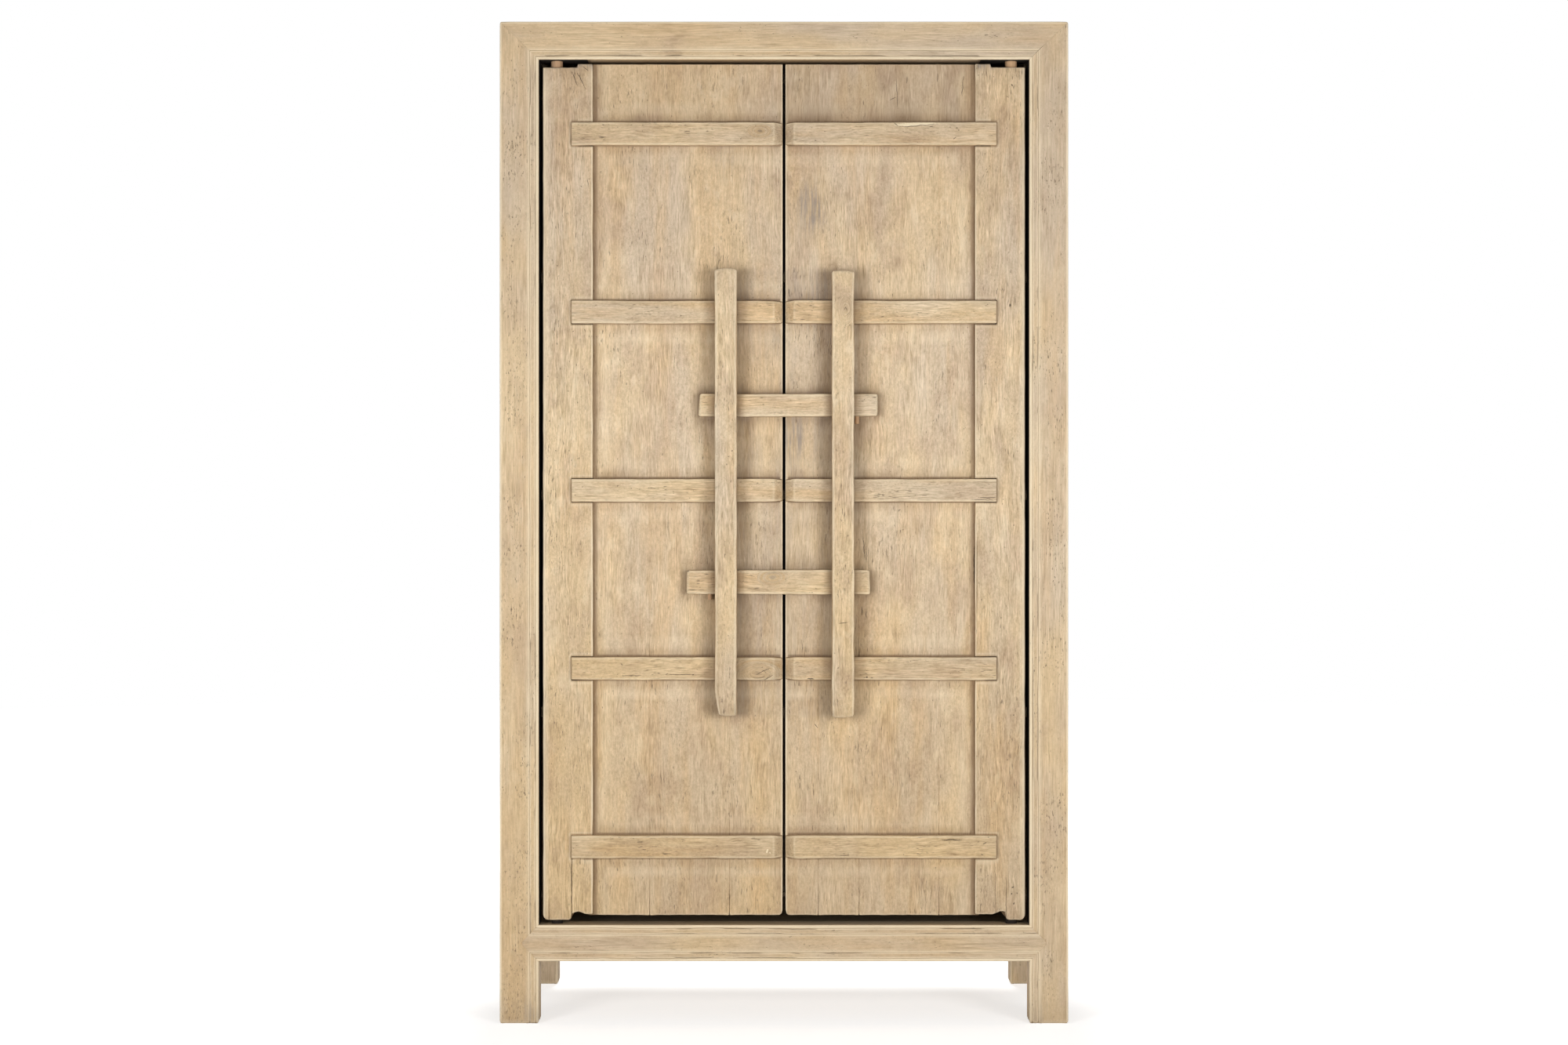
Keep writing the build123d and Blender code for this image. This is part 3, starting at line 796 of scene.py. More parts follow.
# %% The moulding
# Each row is the distance from the opening edge, the depth below the face, and the radius of the corner.
MOULDING = [
    (0.0, 0.0005, 0.0021), (0.0050, 0.0004, 0.0006), (0.0055, 0.0012, 0.0001),
    (0.0059, 0.0012, 0.0001), (0.0063, 0.0005, 0.0002), (0.0154, 0.0004, 0.0002),
    (0.0158, 0.0011, 0.0001), (0.0162, 0.0011, 0.0001), (0.0166, 0.0, 0.0003)]
ARRIS = 0.0024
BACK_ROUND = 0.0015
RAIL_ROUND = 0.002
JOINT_LINE = 0.00006
MITRE_END = 0.0002
SHOULDER_END = 0.0004
PLAIN_END = 0.0008


def leg_corners(front, back):
    """A front leg with its moulding, anticlockwise from the opening edge."""
    moulded = [(opening_half + away, front + depth, radius) for away, depth, radius in MOULDING]
    return moulded + [(half_width, front, ARRIS), (half_width, back, ARRIS), (opening_half, back, BACK_ROUND)]


print("moulding", round(MOULDING[-1][0] * 1000, 1), "mm wide")


# %% The legs
FOOT_ROUND = 0.005
GROOVE_DIRT = 0.24
SHOULDER_SLACK = 0.0006
SHOULDER_LAP = 0.004
SHOULDER_STEPS = 16
FACE_REACH = 0.003
HAND_SWAY = 0.00055
HAND_QUIVER = 0.00025
leg_back = leg_high.y
rear_low, rear_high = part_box("right_rear_leg")


def leg_top(front, back):
    """A leg ends in two slanting faces, one against the front rail and one against the side rail."""
    def top(x, y):
        along, across = (x - opening_half) / leg_width, (y - back) / (front - back)
        return opening_top + top_rail_height * np.clip(np.minimum(along, across), 0, 1) - JOINT_LINE
    return top


def hand_cut(points, outward, across, along_cell, edges, seed):
    """Lets a scratched moulding wander a little, since its lines were cut by hand along each edge."""
    for edge, inward in edges:
        away = (points[:, across] - edge) * inward
        moulded = (outward[:, 1] < 0.5) & (away > 0.002) & (away < MOULDING[-1][0] + FACE_REACH)
        sway = HAND_SWAY * unevenness(points, along_cell, seed)
        sway = sway + HAND_QUIVER * unevenness(points, along_cell * 0.3, seed)
        points[:, across] += np.where(moulded, sway, 0)
    return points


def under_the_shoulder(points, outward):
    """Sinks the leg's face a little where the bottom rail's pointed shoulder lies over it."""
    points = hand_cut(points, outward, 0, np.array([0.4, 0.4, 0.05]), [(opening_half, 1)], 17)
    x, _, z = points.T
    pointed = rail_height / 2 - np.abs(z - (rail_low.z + rail_high.z) / 2)
    inside = pointed - (x - opening_half) - SHOULDER_SLACK
    facing = outward[:, 1] < -0.3
    points[:, 1] += np.where(facing, np.clip(inside, 0, SHOULDER_LAP), 0)
    return soften_top_corner(points)


def leg_dirt_and_gap_shade(points, outward):
    """Dirt at the foot, and painted shade: the face that looks into the gap by the door is made black."""
    _, y, z = points.T
    facing_door = (outward[:, 0] < -0.5) & (y < leg_back + 0.001) & (y > front_face + FACE_REACH)
    facing_door = facing_door & (z > rail_high.z)
    patchy = swells(points, (0.016, 0.016, 0.03), 26)
    return 0.20 * fade(z, 0.05) * (0.4 + patchy) + 1.0 * facing_door


def leg_stain(side):
    """Grey from wet floors at the foot, and a grey handled patch at the top left corner."""
    def stain(points):
        x, _, z = points.T
        patchy = np.clip(0.5 + 0.9 * unevenness(points, (0.022, 0.03, 0.03), 27), 0, 1)
        corner = 0.55 * fade(np.hypot(x - half_width, z - cabinet_height), 0.06) if side == LEFT else 0
        return 0.55 * fade(z - 0.006, 0.055) * patchy + corner * patchy
    return stain


def frame_checks(points):
    """Open pores come in long narrow patches."""
    patchy = swells(points, (0.016, 0.016, 0.16), 29)
    return np.clip(1.5 * patchy**2, 0, 1)


TOP_CORNER_ROUND = 0.006


def soften_top_corner(points):
    """Rounds the two upper corners of the frame, as seen from the front."""
    x, _, z = points.T
    across, up = np.abs(x) - (half_width - TOP_CORNER_ROUND), z - (cabinet_height - TOP_CORNER_ROUND)
    reach = np.hypot(across, up)
    outside = (across > 0) & (up > 0) & (reach > TOP_CORNER_ROUND)
    share = TOP_CORNER_ROUND / np.where(outside, reach, 1)
    points[:, 0] = np.where(outside, np.sign(x) * (half_width - TOP_CORNER_ROUND + across * share), x)
    points[:, 2] = np.where(outside, cabinet_height - TOP_CORNER_ROUND + up * share, z)
    return points


def bead_rub(distance_to_opening):
    """The bead, the band's inner edge and the arris outside the moulding are rubbed pale in front."""
    def rub(points, outward):
        away = distance_to_opening(points)
        on_front = outward[:, 1] < -0.3
        bead = fade(np.abs(away - 0.0024), 0.0034)
        inner = fade(np.abs(away - 0.0074), 0.0018)
        outside = fade(np.abs(away - MOULDING[-1][0] - 0.0010), 0.0028)
        return np.where(on_front, 1.0 * bead + 0.35 * inner + 0.65 * outside, 0)
    return rub


def leg_rub(points, outward):
    return bead_rub(lambda found: found[:, 0] - opening_half)(points, outward)


rail_cuts = [rail_low.z + rail_height * step / SHOULDER_STEPS for step in range(-1, SHOULDER_STEPS + 2)]
for side in (LEFT, RIGHT):
    word = SIDE_NAMES[side]
    make_timber(f"{word}_front_leg", "Z", leg_corners(front_face, leg_back), 0, leg_top(front_face, leg_back),
                frame_elm["Z"], "frame_elm", 11 + side, side, spacing=0.0065, step=0.012,
                rounds=(FOOT_ROUND, MITRE_END), cuts=rail_cuts, hewn=0.0003, nicked=0.0001,
                shape=under_the_shoulder, glaze_and_shade=leg_dirt_and_gap_shade, rub=leg_rub, stain=leg_stain(side),
                checks=frame_checks, grooved=GROOVE_DIRT)
    corners = box_corners(opening_half, half_width, rear_low.y, rear_high.y, ARRIS)
    make_timber(f"{word}_rear_leg", "Z", corners, 0, leg_top(rear_high.y, rear_low.y), frame_elm["Z"],
                "frame_elm", 21 + side, side, spacing=0.009, step=0.016, rounds=(FOOT_ROUND, PLAIN_END),
                glaze_and_shade=leg_dirt_and_gap_shade, shape=lambda points, outward: soften_top_corner(points), checks=frame_checks)
print("legs", round(leg_high.z, 3), "m tall")


# %% The front rails
SHOULDER_THICKNESS = 0.016


def moulded_rail_corners(front, back, low, high, on_low, on_high):
    """A rail's corners in y and z, with the moulding on its lower edge, its upper edge or both."""
    lower = [(front + depth, low + away, radius) for away, depth, radius in MOULDING]
    upper = [(front + depth, high - away, radius) for away, depth, radius in MOULDING]
    front_high = upper if on_high else [(front, high, ARRIS)]
    front_low = lower[::-1] if on_low else [(front, low, ARRIS)]
    return front_high + front_low + [(back, low, BACK_ROUND), (back, high, BACK_ROUND)]


def top_rail_end(front, back, sign):
    def end(y, z):
        across, up = (y - back) / (front - back), (z - opening_top) / top_rail_height
        reach = leg_width * np.clip(np.minimum(across, up), 0, 1)
        return sign * (opening_half + reach - JOINT_LINE)
    return end


def shoulder_end(sign):
    """The bottom rail's pointed shoulder lies over the leg in front, and butts against it behind."""
    def end(y, z):
        pointed = rail_height / 2 - np.abs(z - (rail_low.z + rail_high.z) / 2)
        over = np.where(y < front_face + SHOULDER_THICKNESS, np.clip(pointed, 0, None), 0)
        return sign * (opening_half + over - JOINT_LINE)
    return end


def hand_cut_rail(edges, seed):
    cell = np.array([0.05, 0.4, 0.4])
    return lambda points, outward: soften_top_corner(hand_cut(points, outward, 2, cell, edges, seed))


def top_rail_underside_shade(points, outward):
    """Painted shade on the rail's underside: brown over the boards, and black where the door's head is low,
    at the pivots.
    """
    x, y, _ = points.T
    under = (outward[:, 2] < -0.5) & (y > front_face + FACE_REACH)
    return under * np.where(np.abs(x) > stile_low.x + 0.004, 1.0, 0.42)


def darker_ledge(points, outward):
    """The ledge under the doors is made a little darker."""
    ledge = (outward[:, 2] > 0.5) & (points[:, 1] > front_face + FACE_REACH)
    return 0.10 * ledge


def corner_stain(points):
    x, _, z = points.T
    patchy = np.clip(0.5 + 0.9 * unevenness(points, (0.022, 0.03, 0.03), 28), 0, 1)
    return 0.55 * fade(np.hypot(x + half_width, z - cabinet_height), 0.06) * patchy


top_corners = moulded_rail_corners(front_face, leg_back, opening_top, cabinet_height, True, False)
make_timber("front_top_rail", "X", top_corners, top_rail_end(front_face, leg_back, -1),
            top_rail_end(front_face, leg_back, 1), frame_elm["X"], "frame_elm", 31, spacing=0.008,
            rounds=(MITRE_END, MITRE_END), nicked=0.0001, grooved=GROOVE_DIRT,
            shape=hand_cut_rail([(opening_top, 1)], 18), glaze_and_shade=top_rail_underside_shade, stain=corner_stain,
            rub=bead_rub(lambda found: found[:, 2] - opening_top))
bottom_corners = moulded_rail_corners(front_face, leg_back, rail_low.z, rail_high.z, True, True)
make_timber("front_bottom_rail", "X", bottom_corners, shoulder_end(-1), shoulder_end(1), frame_elm["X"],
            "frame_elm", 33, spacing=0.0065, rounds=(SHOULDER_END, SHOULDER_END), nicked=0.0001,
            grooved=GROOVE_DIRT, shape=hand_cut_rail([(rail_low.z, 1), (rail_high.z, -1)], 19),
            glaze_and_shade=darker_ledge,
            rub=bead_rub(lambda found: np.minimum(found[:, 2] - rail_low.z, rail_high.z - found[:, 2])))
print("rails", round(2 * opening_half, 3), "m between the legs")

# %% [markdown]
# ## The sides, back and top
# Behind the front frame stands a plain one: side rails that meet the legs in the same three-way mitre, and
# thin panels let into grooves. A panel is glued up from three or five boards, so faint seams run along it.
# The seams are real shallow grooves, made by three close points in the outline, of which the middle one is
# pushed in.

# %% Side rails
def side_rail_end(front, back, sign):
    """The end of a top side rail, which runs along y. front and back are those of the leg that it meets."""
    def end(z, x):
        along, up = (x - opening_half) / leg_width, (z - opening_top) / top_rail_height
        share = np.clip(np.minimum(along, up), 0, 1)
        return back + (front - back) * share + sign * JOINT_LINE
    return end


def rail_along_y(node, side, low, high, ends, seed, outer_round=RAIL_ROUND):
    corners = box_corners(low.z, high.z, low.x, high.x, (RAIL_ROUND, RAIL_ROUND, outer_round, RAIL_ROUND))
    make_timber(node, "Y", corners, *ends, frame_elm["Y"], "frame_elm", seed, side, spacing=0.010, step=0.016,
                rounds=(PLAIN_END, PLAIN_END))


for side in (LEFT, RIGHT):
    word = SIDE_NAMES[side]
    low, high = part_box("right_top_side_rail")
    ends = side_rail_end(front_face, leg_back, 1), side_rail_end(rear_high.y, rear_low.y, -1)
    rail_along_y(f"{word}_top_side_rail", side, low, high, ends, 41 + side, TOP_CORNER_ROUND)
    low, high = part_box("right_bottom_side_rail")
    ends = leg_back + JOINT_LINE, rear_low.y - JOINT_LINE
    rail_along_y(f"{word}_bottom_side_rail", side, low, high, ends, 44 + side)

corners = box_corners(rear_low.y, rear_high.y, opening_top, cabinet_height, RAIL_ROUND)
make_timber("rear_top_rail", "X", corners, top_rail_end(rear_high.y, rear_low.y, -1),
            top_rail_end(rear_high.y, rear_low.y, 1), frame_elm["X"], "frame_elm", 47, spacing=0.010,
            rounds=(PLAIN_END, PLAIN_END), shape=lambda points, outward: soften_top_corner(points))
low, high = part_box("rear_bottom_rail")
corners = box_corners(low.y, high.y, low.z, high.z, RAIL_ROUND)
make_timber("rear_bottom_rail", "X", corners, -opening_half + JOINT_LINE, opening_half - JOINT_LINE,
            frame_elm["X"], "frame_elm", 48, spacing=0.010)
print("side and rear rails made:", len(pieces_made), "pieces so far")

# %% Panels with glued seams
SEAM = 0.0009
SEAM_DEPTH = 0.0011
SEAM_DIRT = 0.75
PANEL_ROUND = 0.001
PANEL_HEWN = 0.0006
EDGE_DIRT = 0.7
EDGE_DIRT_REACH = 0.010


def seamed(low, high, seams):
    """Three close places for each seam, as plain points on a straight line, from low to high."""
    return [seam + shift for seam in sorted(seams) for shift in (-SEAM, 0.0, SEAM) if low < seam < high]


def sink_seams(seams, column, normal_column):
    """A shape function that pushes the middle of each seam in, on the faces that look along one axis."""
    def shape(points, outward):
        for seam in seams:
            middle = np.abs(points[:, column] - seam) < SEAM / 2
            facing = np.abs(outward[:, normal_column]) > 0.9
            points[:, normal_column] -= np.where(middle & facing, SEAM_DEPTH * outward[:, normal_column], 0)
        return points
    return shape


def seam_glaze(seams, column, edge_glaze):
    def glaze_and_shade(points, outward):
        found = edge_glaze(points)
        for seam in seams:
            found = np.maximum(found, SEAM_DIRT * (np.abs(points[:, column] - seam) < SEAM / 2))
        return found
    return glaze_and_shade


def beside_frame(points):
    """Glaze along the edges of a panel, where it goes into the frame."""
    _, y, z = points.T
    edge = np.minimum(z - rail_high.z, opening_top - z)
    side_edge = np.minimum(y - leg_back, rear_low.y - y)
    return EDGE_DIRT * fade(np.minimum(edge, side_edge), EDGE_DIRT_REACH)


SIDE_SEAMS = (-0.045, 0.094)
panel_low, panel_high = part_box("right_side_panel")
for side in (LEFT, RIGHT):
    outer = [(panel_high.x, y, 0.0) for y in seamed(panel_low.y, panel_high.y, SIDE_SEAMS)]
    corners = [(panel_low.x, panel_low.y, PANEL_ROUND), (panel_high.x, panel_low.y, PANEL_ROUND)] + outer
    corners += [(panel_high.x, panel_high.y, PANEL_ROUND), (panel_low.x, panel_high.y, PANEL_ROUND)]
    make_timber(f"{SIDE_NAMES[side]}_side_panel", "Z", corners, panel_low.z, panel_high.z, frame_elm["Z"],
                "frame_elm", 51 + side, side, spacing=0.014, step=0.020, hewn=PANEL_HEWN,
                shape=sink_seams(SIDE_SEAMS, 1, 0), glaze_and_shade=seam_glaze(SIDE_SEAMS, 1, beside_frame))
print("side panels", round(panel_high.z - panel_low.z, 3), "m tall")


# %% The back, the bottom and the top
def beside_back_frame(points):
    x, _, z = points.T
    edge = np.minimum(z - rail_high.z, opening_top - z)
    return EDGE_DIRT * fade(np.minimum(edge, opening_half - np.abs(x)), EDGE_DIRT_REACH)


BACK_SEAMS = (-0.262, -0.088, 0.105, 0.281)
low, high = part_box("back_panel")
behind = [(x, high.y, 0.0) for x in seamed(low.x, high.x, BACK_SEAMS)[::-1]]
corners = [(low.x, low.y, PANEL_ROUND), (high.x, low.y, PANEL_ROUND), (high.x, high.y, PANEL_ROUND)]
corners += behind + [(low.x, high.y, PANEL_ROUND)]
make_timber("back_panel", "Z", corners, low.z, high.z, inner_elm["Z"], "inner_elm", 55, spacing=0.020,
            step=0.022, hewn=PANEL_HEWN, shape=sink_seams(BACK_SEAMS, 0, 1),
            glaze_and_shade=seam_glaze(BACK_SEAMS, 0, beside_back_frame))


def beside_top_frame(points):
    x, y, _ = points.T
    edge = np.minimum(y - leg_back, rear_low.y - y)
    return EDGE_DIRT * fade(np.minimum(edge, opening_half - np.abs(x)), EDGE_DIRT_REACH)


TOP_SEAMS = (-0.030, 0.118)
low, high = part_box("top_panel")
above = [(y, high.z, 0.0) for y in seamed(low.y, high.y, TOP_SEAMS)[::-1]]
corners = [(low.y, low.z, PANEL_ROUND), (high.y, low.z, PANEL_ROUND), (high.y, high.z, PANEL_ROUND)]
corners += above + [(low.y, high.z, PANEL_ROUND)]
make_timber("top_panel", "X", corners, low.x, high.x, frame_elm["X"], "frame_elm", 56, spacing=0.020,
            step=0.022, hewn=PANEL_HEWN, shape=sink_seams(TOP_SEAMS, 1, 2),
            glaze_and_shade=seam_glaze(TOP_SEAMS, 1, beside_top_frame))
print("panels seamed at", BACK_SEAMS, "and", TOP_SEAMS)

# %% [markdown]
# ## The inside
# The shelves and the bottom board are notched round the legs, and the shelves' bearers butt between them.
# All that is already cut in the construction, and so are the pins of the bars. These pieces keep their shape
# and only take a plainer finish.

# %% The inside
def finish_plain(node, material):
    slots = frame["nodes"][node].data.materials
    slots.clear()
    slots.append(material)


for number in range(1, 4):
    finish_plain(f"shelf_{number}", inner_elm["X"])
    for word in SIDE_NAMES.values():
        finish_plain(f"{word}_shelf_bearer_{number}", inner_elm["Y"])
finish_plain("bottom_panel", inner_elm["X"])
for word in SIDE_NAMES.values():
    finish_plain(f"{word}_bar_pins", bare_dowel)
print("inside finished")

# %% [markdown]
# ## The two old doors
# Each leaf is three or four boards let into a thick pivot stile, with five battens across. The doors are
# older than the frame: faces are hewn and hollow, and the boards' feet are chipped and split. Dark glaze and
# painted shadow sit beside every batten, along the stile and round the bars.

# %% Where dirt gathers and shadow is painted on a leaf
BAR_BOXES = {side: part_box(f"{SIDE_NAMES[side]}_bar") for side in (LEFT, RIGHT)}
BOLT_BOXES = [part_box("upper_bolt"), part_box("lower_bolt")]


def mirrored(low, high, side):
    """The x places of a box, as seen from its own side of the cabinet."""
    return (low.x, high.x) if side == RIGHT else (-high.x, -low.x)


def from_battens(z):
    """The distances from the nearest batten below and from the nearest batten above, both 0 on a batten."""
    over, under = [], []
    for middle in batten_heights:
        beyond = np.abs(z - middle) - batten_half
        over.append(np.where(z > middle - batten_half, beyond, 1))
        under.append(np.where(z < middle + batten_half, beyond, 1))
    return np.clip(np.min(over, axis=0), 0, None), np.clip(np.min(under, axis=0), 0, None)


TOP_DIRT = {LEFT: 0.09, RIGHT: 0.20}
TOP_LOWER_DIRT = {LEFT: 0.06, RIGHT: 0.18}
PALE_LINE_AT = 0.0060
PALE_LINE_REACH = 0.0032
MOST_DIRT_AND_SHADOW = 0.78


def leaf_rub(seed):
    """Pale where the wash was rubbed thin: a rim inside each field's dark border, the meeting edge, a line
    beside each batten and the chipped foot."""
    def rub(points, outward):
        x, _, z = points.T
        over, under = from_battens(z)
        patchy = swells(points, (0.05, 0.03, 0.07), seed + 6)
        inside = np.minimum(np.minimum(over, under), np.clip(stile_low.x - x, 0, None))
        rim = fade(np.abs(inside - 0.020 - 0.006 * patchy), 0.013)
        meeting = 0.30 * fade(x - board_low.x, 0.005) * (z < batten_heights[-1])
        beside_batten = 0.42 * fade(np.abs(over - PALE_LINE_AT), PALE_LINE_REACH)
        beside_batten = beside_batten + 0.20 * fade(np.abs(under - PALE_LINE_AT), PALE_LINE_REACH)
        chipped = np.clip(0.35 + unevenness(points, (0.006, 0.03, 0.006), seed + 9), 0, 1)
        foot = 0.75 * fade(z - board_low.z, 0.0050) * chipped
        return (0.46 * rim * patchy + meeting + beside_batten * patchy + foot) * (outward[:, 1] < -0.5)
    return rub


def between_bars(x, z):
    """1 between the two bars, fading out at them."""
    low, high = BAR_BOXES[RIGHT]
    return fade(x - low.x, 0.03) * (z > low.z) * (z < high.z)


def leaf_checks(seed):
    """Open pores and small splits: in patches, and most between the bars and at the foot."""
    def checks(points):
        x, _, z = points.T
        patchy = swells(points, (0.05, 0.03, 0.09), seed + 8)
        middle = between_bars(x - 0.02, z)
        foot = fade(z - board_low.z, 0.07)
        return np.clip(patchy**2 * 0.9 + 0.45 * middle * patchy + 0.3 * foot * patchy, 0, 1)
    return checks


COVERED_CLEAN = 0.007


def round_box(across, across_low, across_high, up, up_low, up_high):
    """How far a point lies outside a rectangle, and how much of the painted shadow and grime it may have: 1
    outside and at the edge, and none deeper in, where a timber covers it."""
    beside = np.maximum(across_low - across, across - across_high)
    beyond = np.maximum(up_low - up, up - up_high)
    outside = np.hypot(np.clip(beside, 0, None), np.clip(beyond, 0, None))
    inside = np.clip(-np.maximum(beside, beyond), 0, None)
    return outside, fade(inside, COVERED_CLEAN)


# Dirt and glaze on a leaf, with painted shadow beside the battens, the stile, the bars and the bolts.
def leaf_dirt_and_shadow(side, seed):
    bar_box = BAR_BOXES[side]
    bar_left, bar_right = mirrored(*bar_box, side)

    def glaze_and_shade(points, outward):
        x, y, z = points.T
        patchy = swells(points, (0.028, 0.03, 0.05), seed)
        ragged = 0.004 * unevenness(points, (0.013, 0.03, 0.03), seed + 1)
        over, under = from_battens(z)
        at_meeting = x < board_low.x + 0.004
        over, under = over + np.where(at_meeting, 0.02, 0), under + np.where(at_meeting, 0.02, 0)
        from_stile = np.clip(stile_low.x - x, 0, None)
        border = np.minimum(np.minimum(over, under), np.minimum(from_stile, x - board_low.x + 0.012)) + ragged
        beside_bar = np.clip(np.maximum(bar_left - x, x - bar_right), 0, None)
        past_bar = np.clip(np.maximum(bar_box[0].z - z, z - bar_box[1].z), 0, None)
        # Painted shadow: a dark line and a soft brown band above each batten, and a thin dark line under it.
        dirt_and_shadow = 0.74 * fade(over, 0.0040) + 0.13 * fade(over + ragged, 0.013) * patchy
        dirt_and_shadow = dirt_and_shadow + 0.34 * fade(under, 0.0020)
        # Painted shadow mixed with glaze beside the stile's edge, and glaze along each field's border.
        dirt_and_shadow += 0.72 * fade(from_stile - 0.0030, 0.0075) + 0.26 * fade(border, 0.026) * (0.15 + patchy)
        # Painted shadow of the bars to both sides of them, mixed with glaze.
        dirt_and_shadow += 0.36 * fade(np.hypot(beside_bar, 3.5 * past_bar) + 1.6 * ragged, 0.032) * (0.45 + patchy)
        dirt_and_shadow += 0.08 * between_bars(x, z) * (0.4 + patchy)
        for low, high in BOLT_BOXES:
            bolt_left, bolt_right = mirrored(low, high, side)
            outside, uncovered = round_box(x, bolt_left, bolt_right, z, low.z, high.z)
            # Painted shadow round each bolt, mixed with grime: a soft band and a thin dark line at its edge.
            dirt_and_shadow += 0.30 * fade(outside + 1.6 * ragged, 0.022) * (0.45 + patchy) * uncovered
            dirt_and_shadow += 0.45 * fade(outside, 0.0045) * uncovered
        top_field = fade(batten_heights[-1] + batten_half - z, 0.01)
        foot_field = fade(z - batten_heights[0] + batten_half, 0.01)
        top_lower = fade(np.clip(z - batten_heights[-1] - batten_half, 0, None), 0.05) * top_field
        dirt_and_shadow += TOP_DIRT[side] * top_field * (0.7 + patchy) + 0.05 * foot_field * (0.7 + patchy)
        dirt_and_shadow += TOP_LOWER_DIRT[side] * top_lower
        dirt_and_shadow = np.clip(dirt_and_shadow, 0, MOST_DIRT_AND_SHADOW)
        # Painted shade: the back of the foot is black.
        back_of_foot = (z < board_low.z + 0.006) & (y > board_front + 0.004)
        return np.where(back_of_foot, 1.0, dirt_and_shadow * (outward[:, 1] < 0.5))
    return glaze_and_shade


print("bars from", [round(v * 1000) for v in mirrored(*BAR_BOXES[LEFT], LEFT)], "mm on the left")


# %% The boards
STAINS = {RIGHT: [(0.049, 1.457, 0.042, 1.35), (0.018, 1.050, 0.034, 0.7), (0.030, 1.03, 0.05, 0.35),
                  (0.045, 1.30, 0.06, 0.25)],
          LEFT: [(0.052, 1.02, 0.03, 0.35), (0.10, 1.56, 0.05, 0.3)]}
DISH = 0.0012
CHIP = 0.0042


def leaf_stain(side):
    def stain(points):
        x, _, z = points.T
        patchy = swells(points, (0.02, 0.03, 0.07), 61)
        total = 0.42 * between_bars(x, z) * patchy
        for spot_x, spot_z, size, strength in STAINS[side]:
            total += strength * fade(np.hypot(x - spot_x, (z - spot_z) * 0.6), size)
        return total
    return stain


SEAM_OPENING = 0.00032
CORNER_ROUND = 0.0075


def quarter(distance, radius):
    """How far a rounded corner of that radius has drawn back, that distance from the edge."""
    inside = np.clip(radius - distance, 0, radius)
    return radius - np.sqrt(radius**2 - inside**2)


def open_seams(points, x_low, x_high):
    """Draws a board's edges in towards its foot, where shrinkage has opened the seams."""
    x, _, z = points.T
    opening = SEAM_OPENING * fade(z - board_low.z, 0.09)
    points[:, 0] += opening * (fade(x - x_low, 0.006) - fade(x_high - x, 0.006))
    return points


def hollow_face(seed, depth, x_low, x_high):
    """A shape function for a hewn face: shallow adze hollows, and a dish, deepest beside the battens."""
    def shape(points, outward):
        points = open_seams(points, x_low, x_high)
        facing = outward[:, 1] < -0.8
        swell = swells(points, (0.05, 1.0, 0.16), seed)
        ripple = swells(points, (0.022, 1.0, 0.05), seed + 5)
        over, under = from_battens(points[:, 2])
        near = np.minimum(np.minimum(over, under), np.clip(stile_low.x - points[:, 0], 0, None))
        sunk = depth * (0.6 * swell + 0.15 * ripple + 0.5 * fade(near, 0.035))
        points[:, 1] += np.where(facing, sunk, 0)
        return points
    return shape


def ragged_foot(base, seed, chip=CHIP, rounded_at=None):
    """A foot worn and chipped by damp, in long shallow waves and sharp nicks. One corner may be rounded."""
    def foot(x, y):
        flat = np.stack([np.ravel(x), np.ravel(y), np.zeros(np.size(x))], axis=1)
        wave = swells(flat, (0.045, 0.03, 1), seed)
        nick = np.maximum(0, unevenness(flat, (0.0065, 0.014, 1), seed + 3) - 0.40) / 0.60
        fine = swells(flat, (0.0034, 0.008, 1), seed + 7)
        worn = chip * (0.08 * wave + 0.60 * nick + 0.24 * fine).reshape(np.shape(x))
        if rounded_at is not None:
            worn = worn + quarter(np.clip(np.asarray(x) - rounded_at, 0, None), CORNER_ROUND)
        return base + worn
    return foot


def ragged_head(base, seed):
    foot = ragged_foot(0.0, seed, 0.0016)
    return lambda x, y: base - foot(x, y)


GLUED = 0.00005
MEETING_ROUND = 0.0016
# The extra points of the outline: how far they lie from the stile and from the meeting edge. The extra rings
# lie that far from each edge of a batten.
STILE_STEPS = (0.020, 0.0135, 0.0095, 0.006, 0.003, 0.001)
MEETING_STEPS = (0.0032, 0.0055, 0.0085)
BATTEN_STEPS = (0, 0.0015, 0.004, 0.009, 0.018)
board_counts = {LEFT: 3, RIGHT: 4}
board_cuts = [middle + sign * (batten_half + away) for middle in batten_heights
              for sign in (-1, 1) for away in BATTEN_STEPS]
for side in (LEFT, RIGHT):
    for number in range(1, board_counts[side] + 1):
        node = f"{SIDE_NAMES[side]}_door_board_{number}"
        low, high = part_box(node)
        x_low, x_high = mirrored(low, high, side)
        near_stile = [(stile_low.x - away, low.y, 0.0) for away in STILE_STEPS if x_high > stile_low.x]
        meets = x_low < board_low.x + 0.001
        near_meeting = [(x_low + away, low.y, 0.0) for away in MEETING_STEPS if meets]
        corners = [(x_low, low.y, MEETING_ROUND if meets else GLUED)] + near_meeting + near_stile
        corners += [(x_high, low.y, GLUED), (x_high, high.y, GLUED), (x_low, high.y, GLUED)]
        seed = 60 + side
        foot = ragged_foot(low.z, seed, CHIP, x_low if meets else None)
        make_timber(node, "Z", corners, foot, ragged_head(high.z, seed + 2),
                    panel_elm, "old_elm", seed, side, spacing=0.0048, step=0.011, rounds=(0.0024, 0.0012),
                    cuts=board_cuts, hewn=0.0, nicked=0.0004, shape=hollow_face(seed, DISH, x_low, x_high),
                    glaze_and_shade=leaf_dirt_and_shadow(side, seed), stain=leaf_stain(side), rub=leaf_rub(seed),
                    checks=leaf_checks(seed))
print("boards", board_counts, "each", round(board_high.z - board_low.z, 3), "m tall")


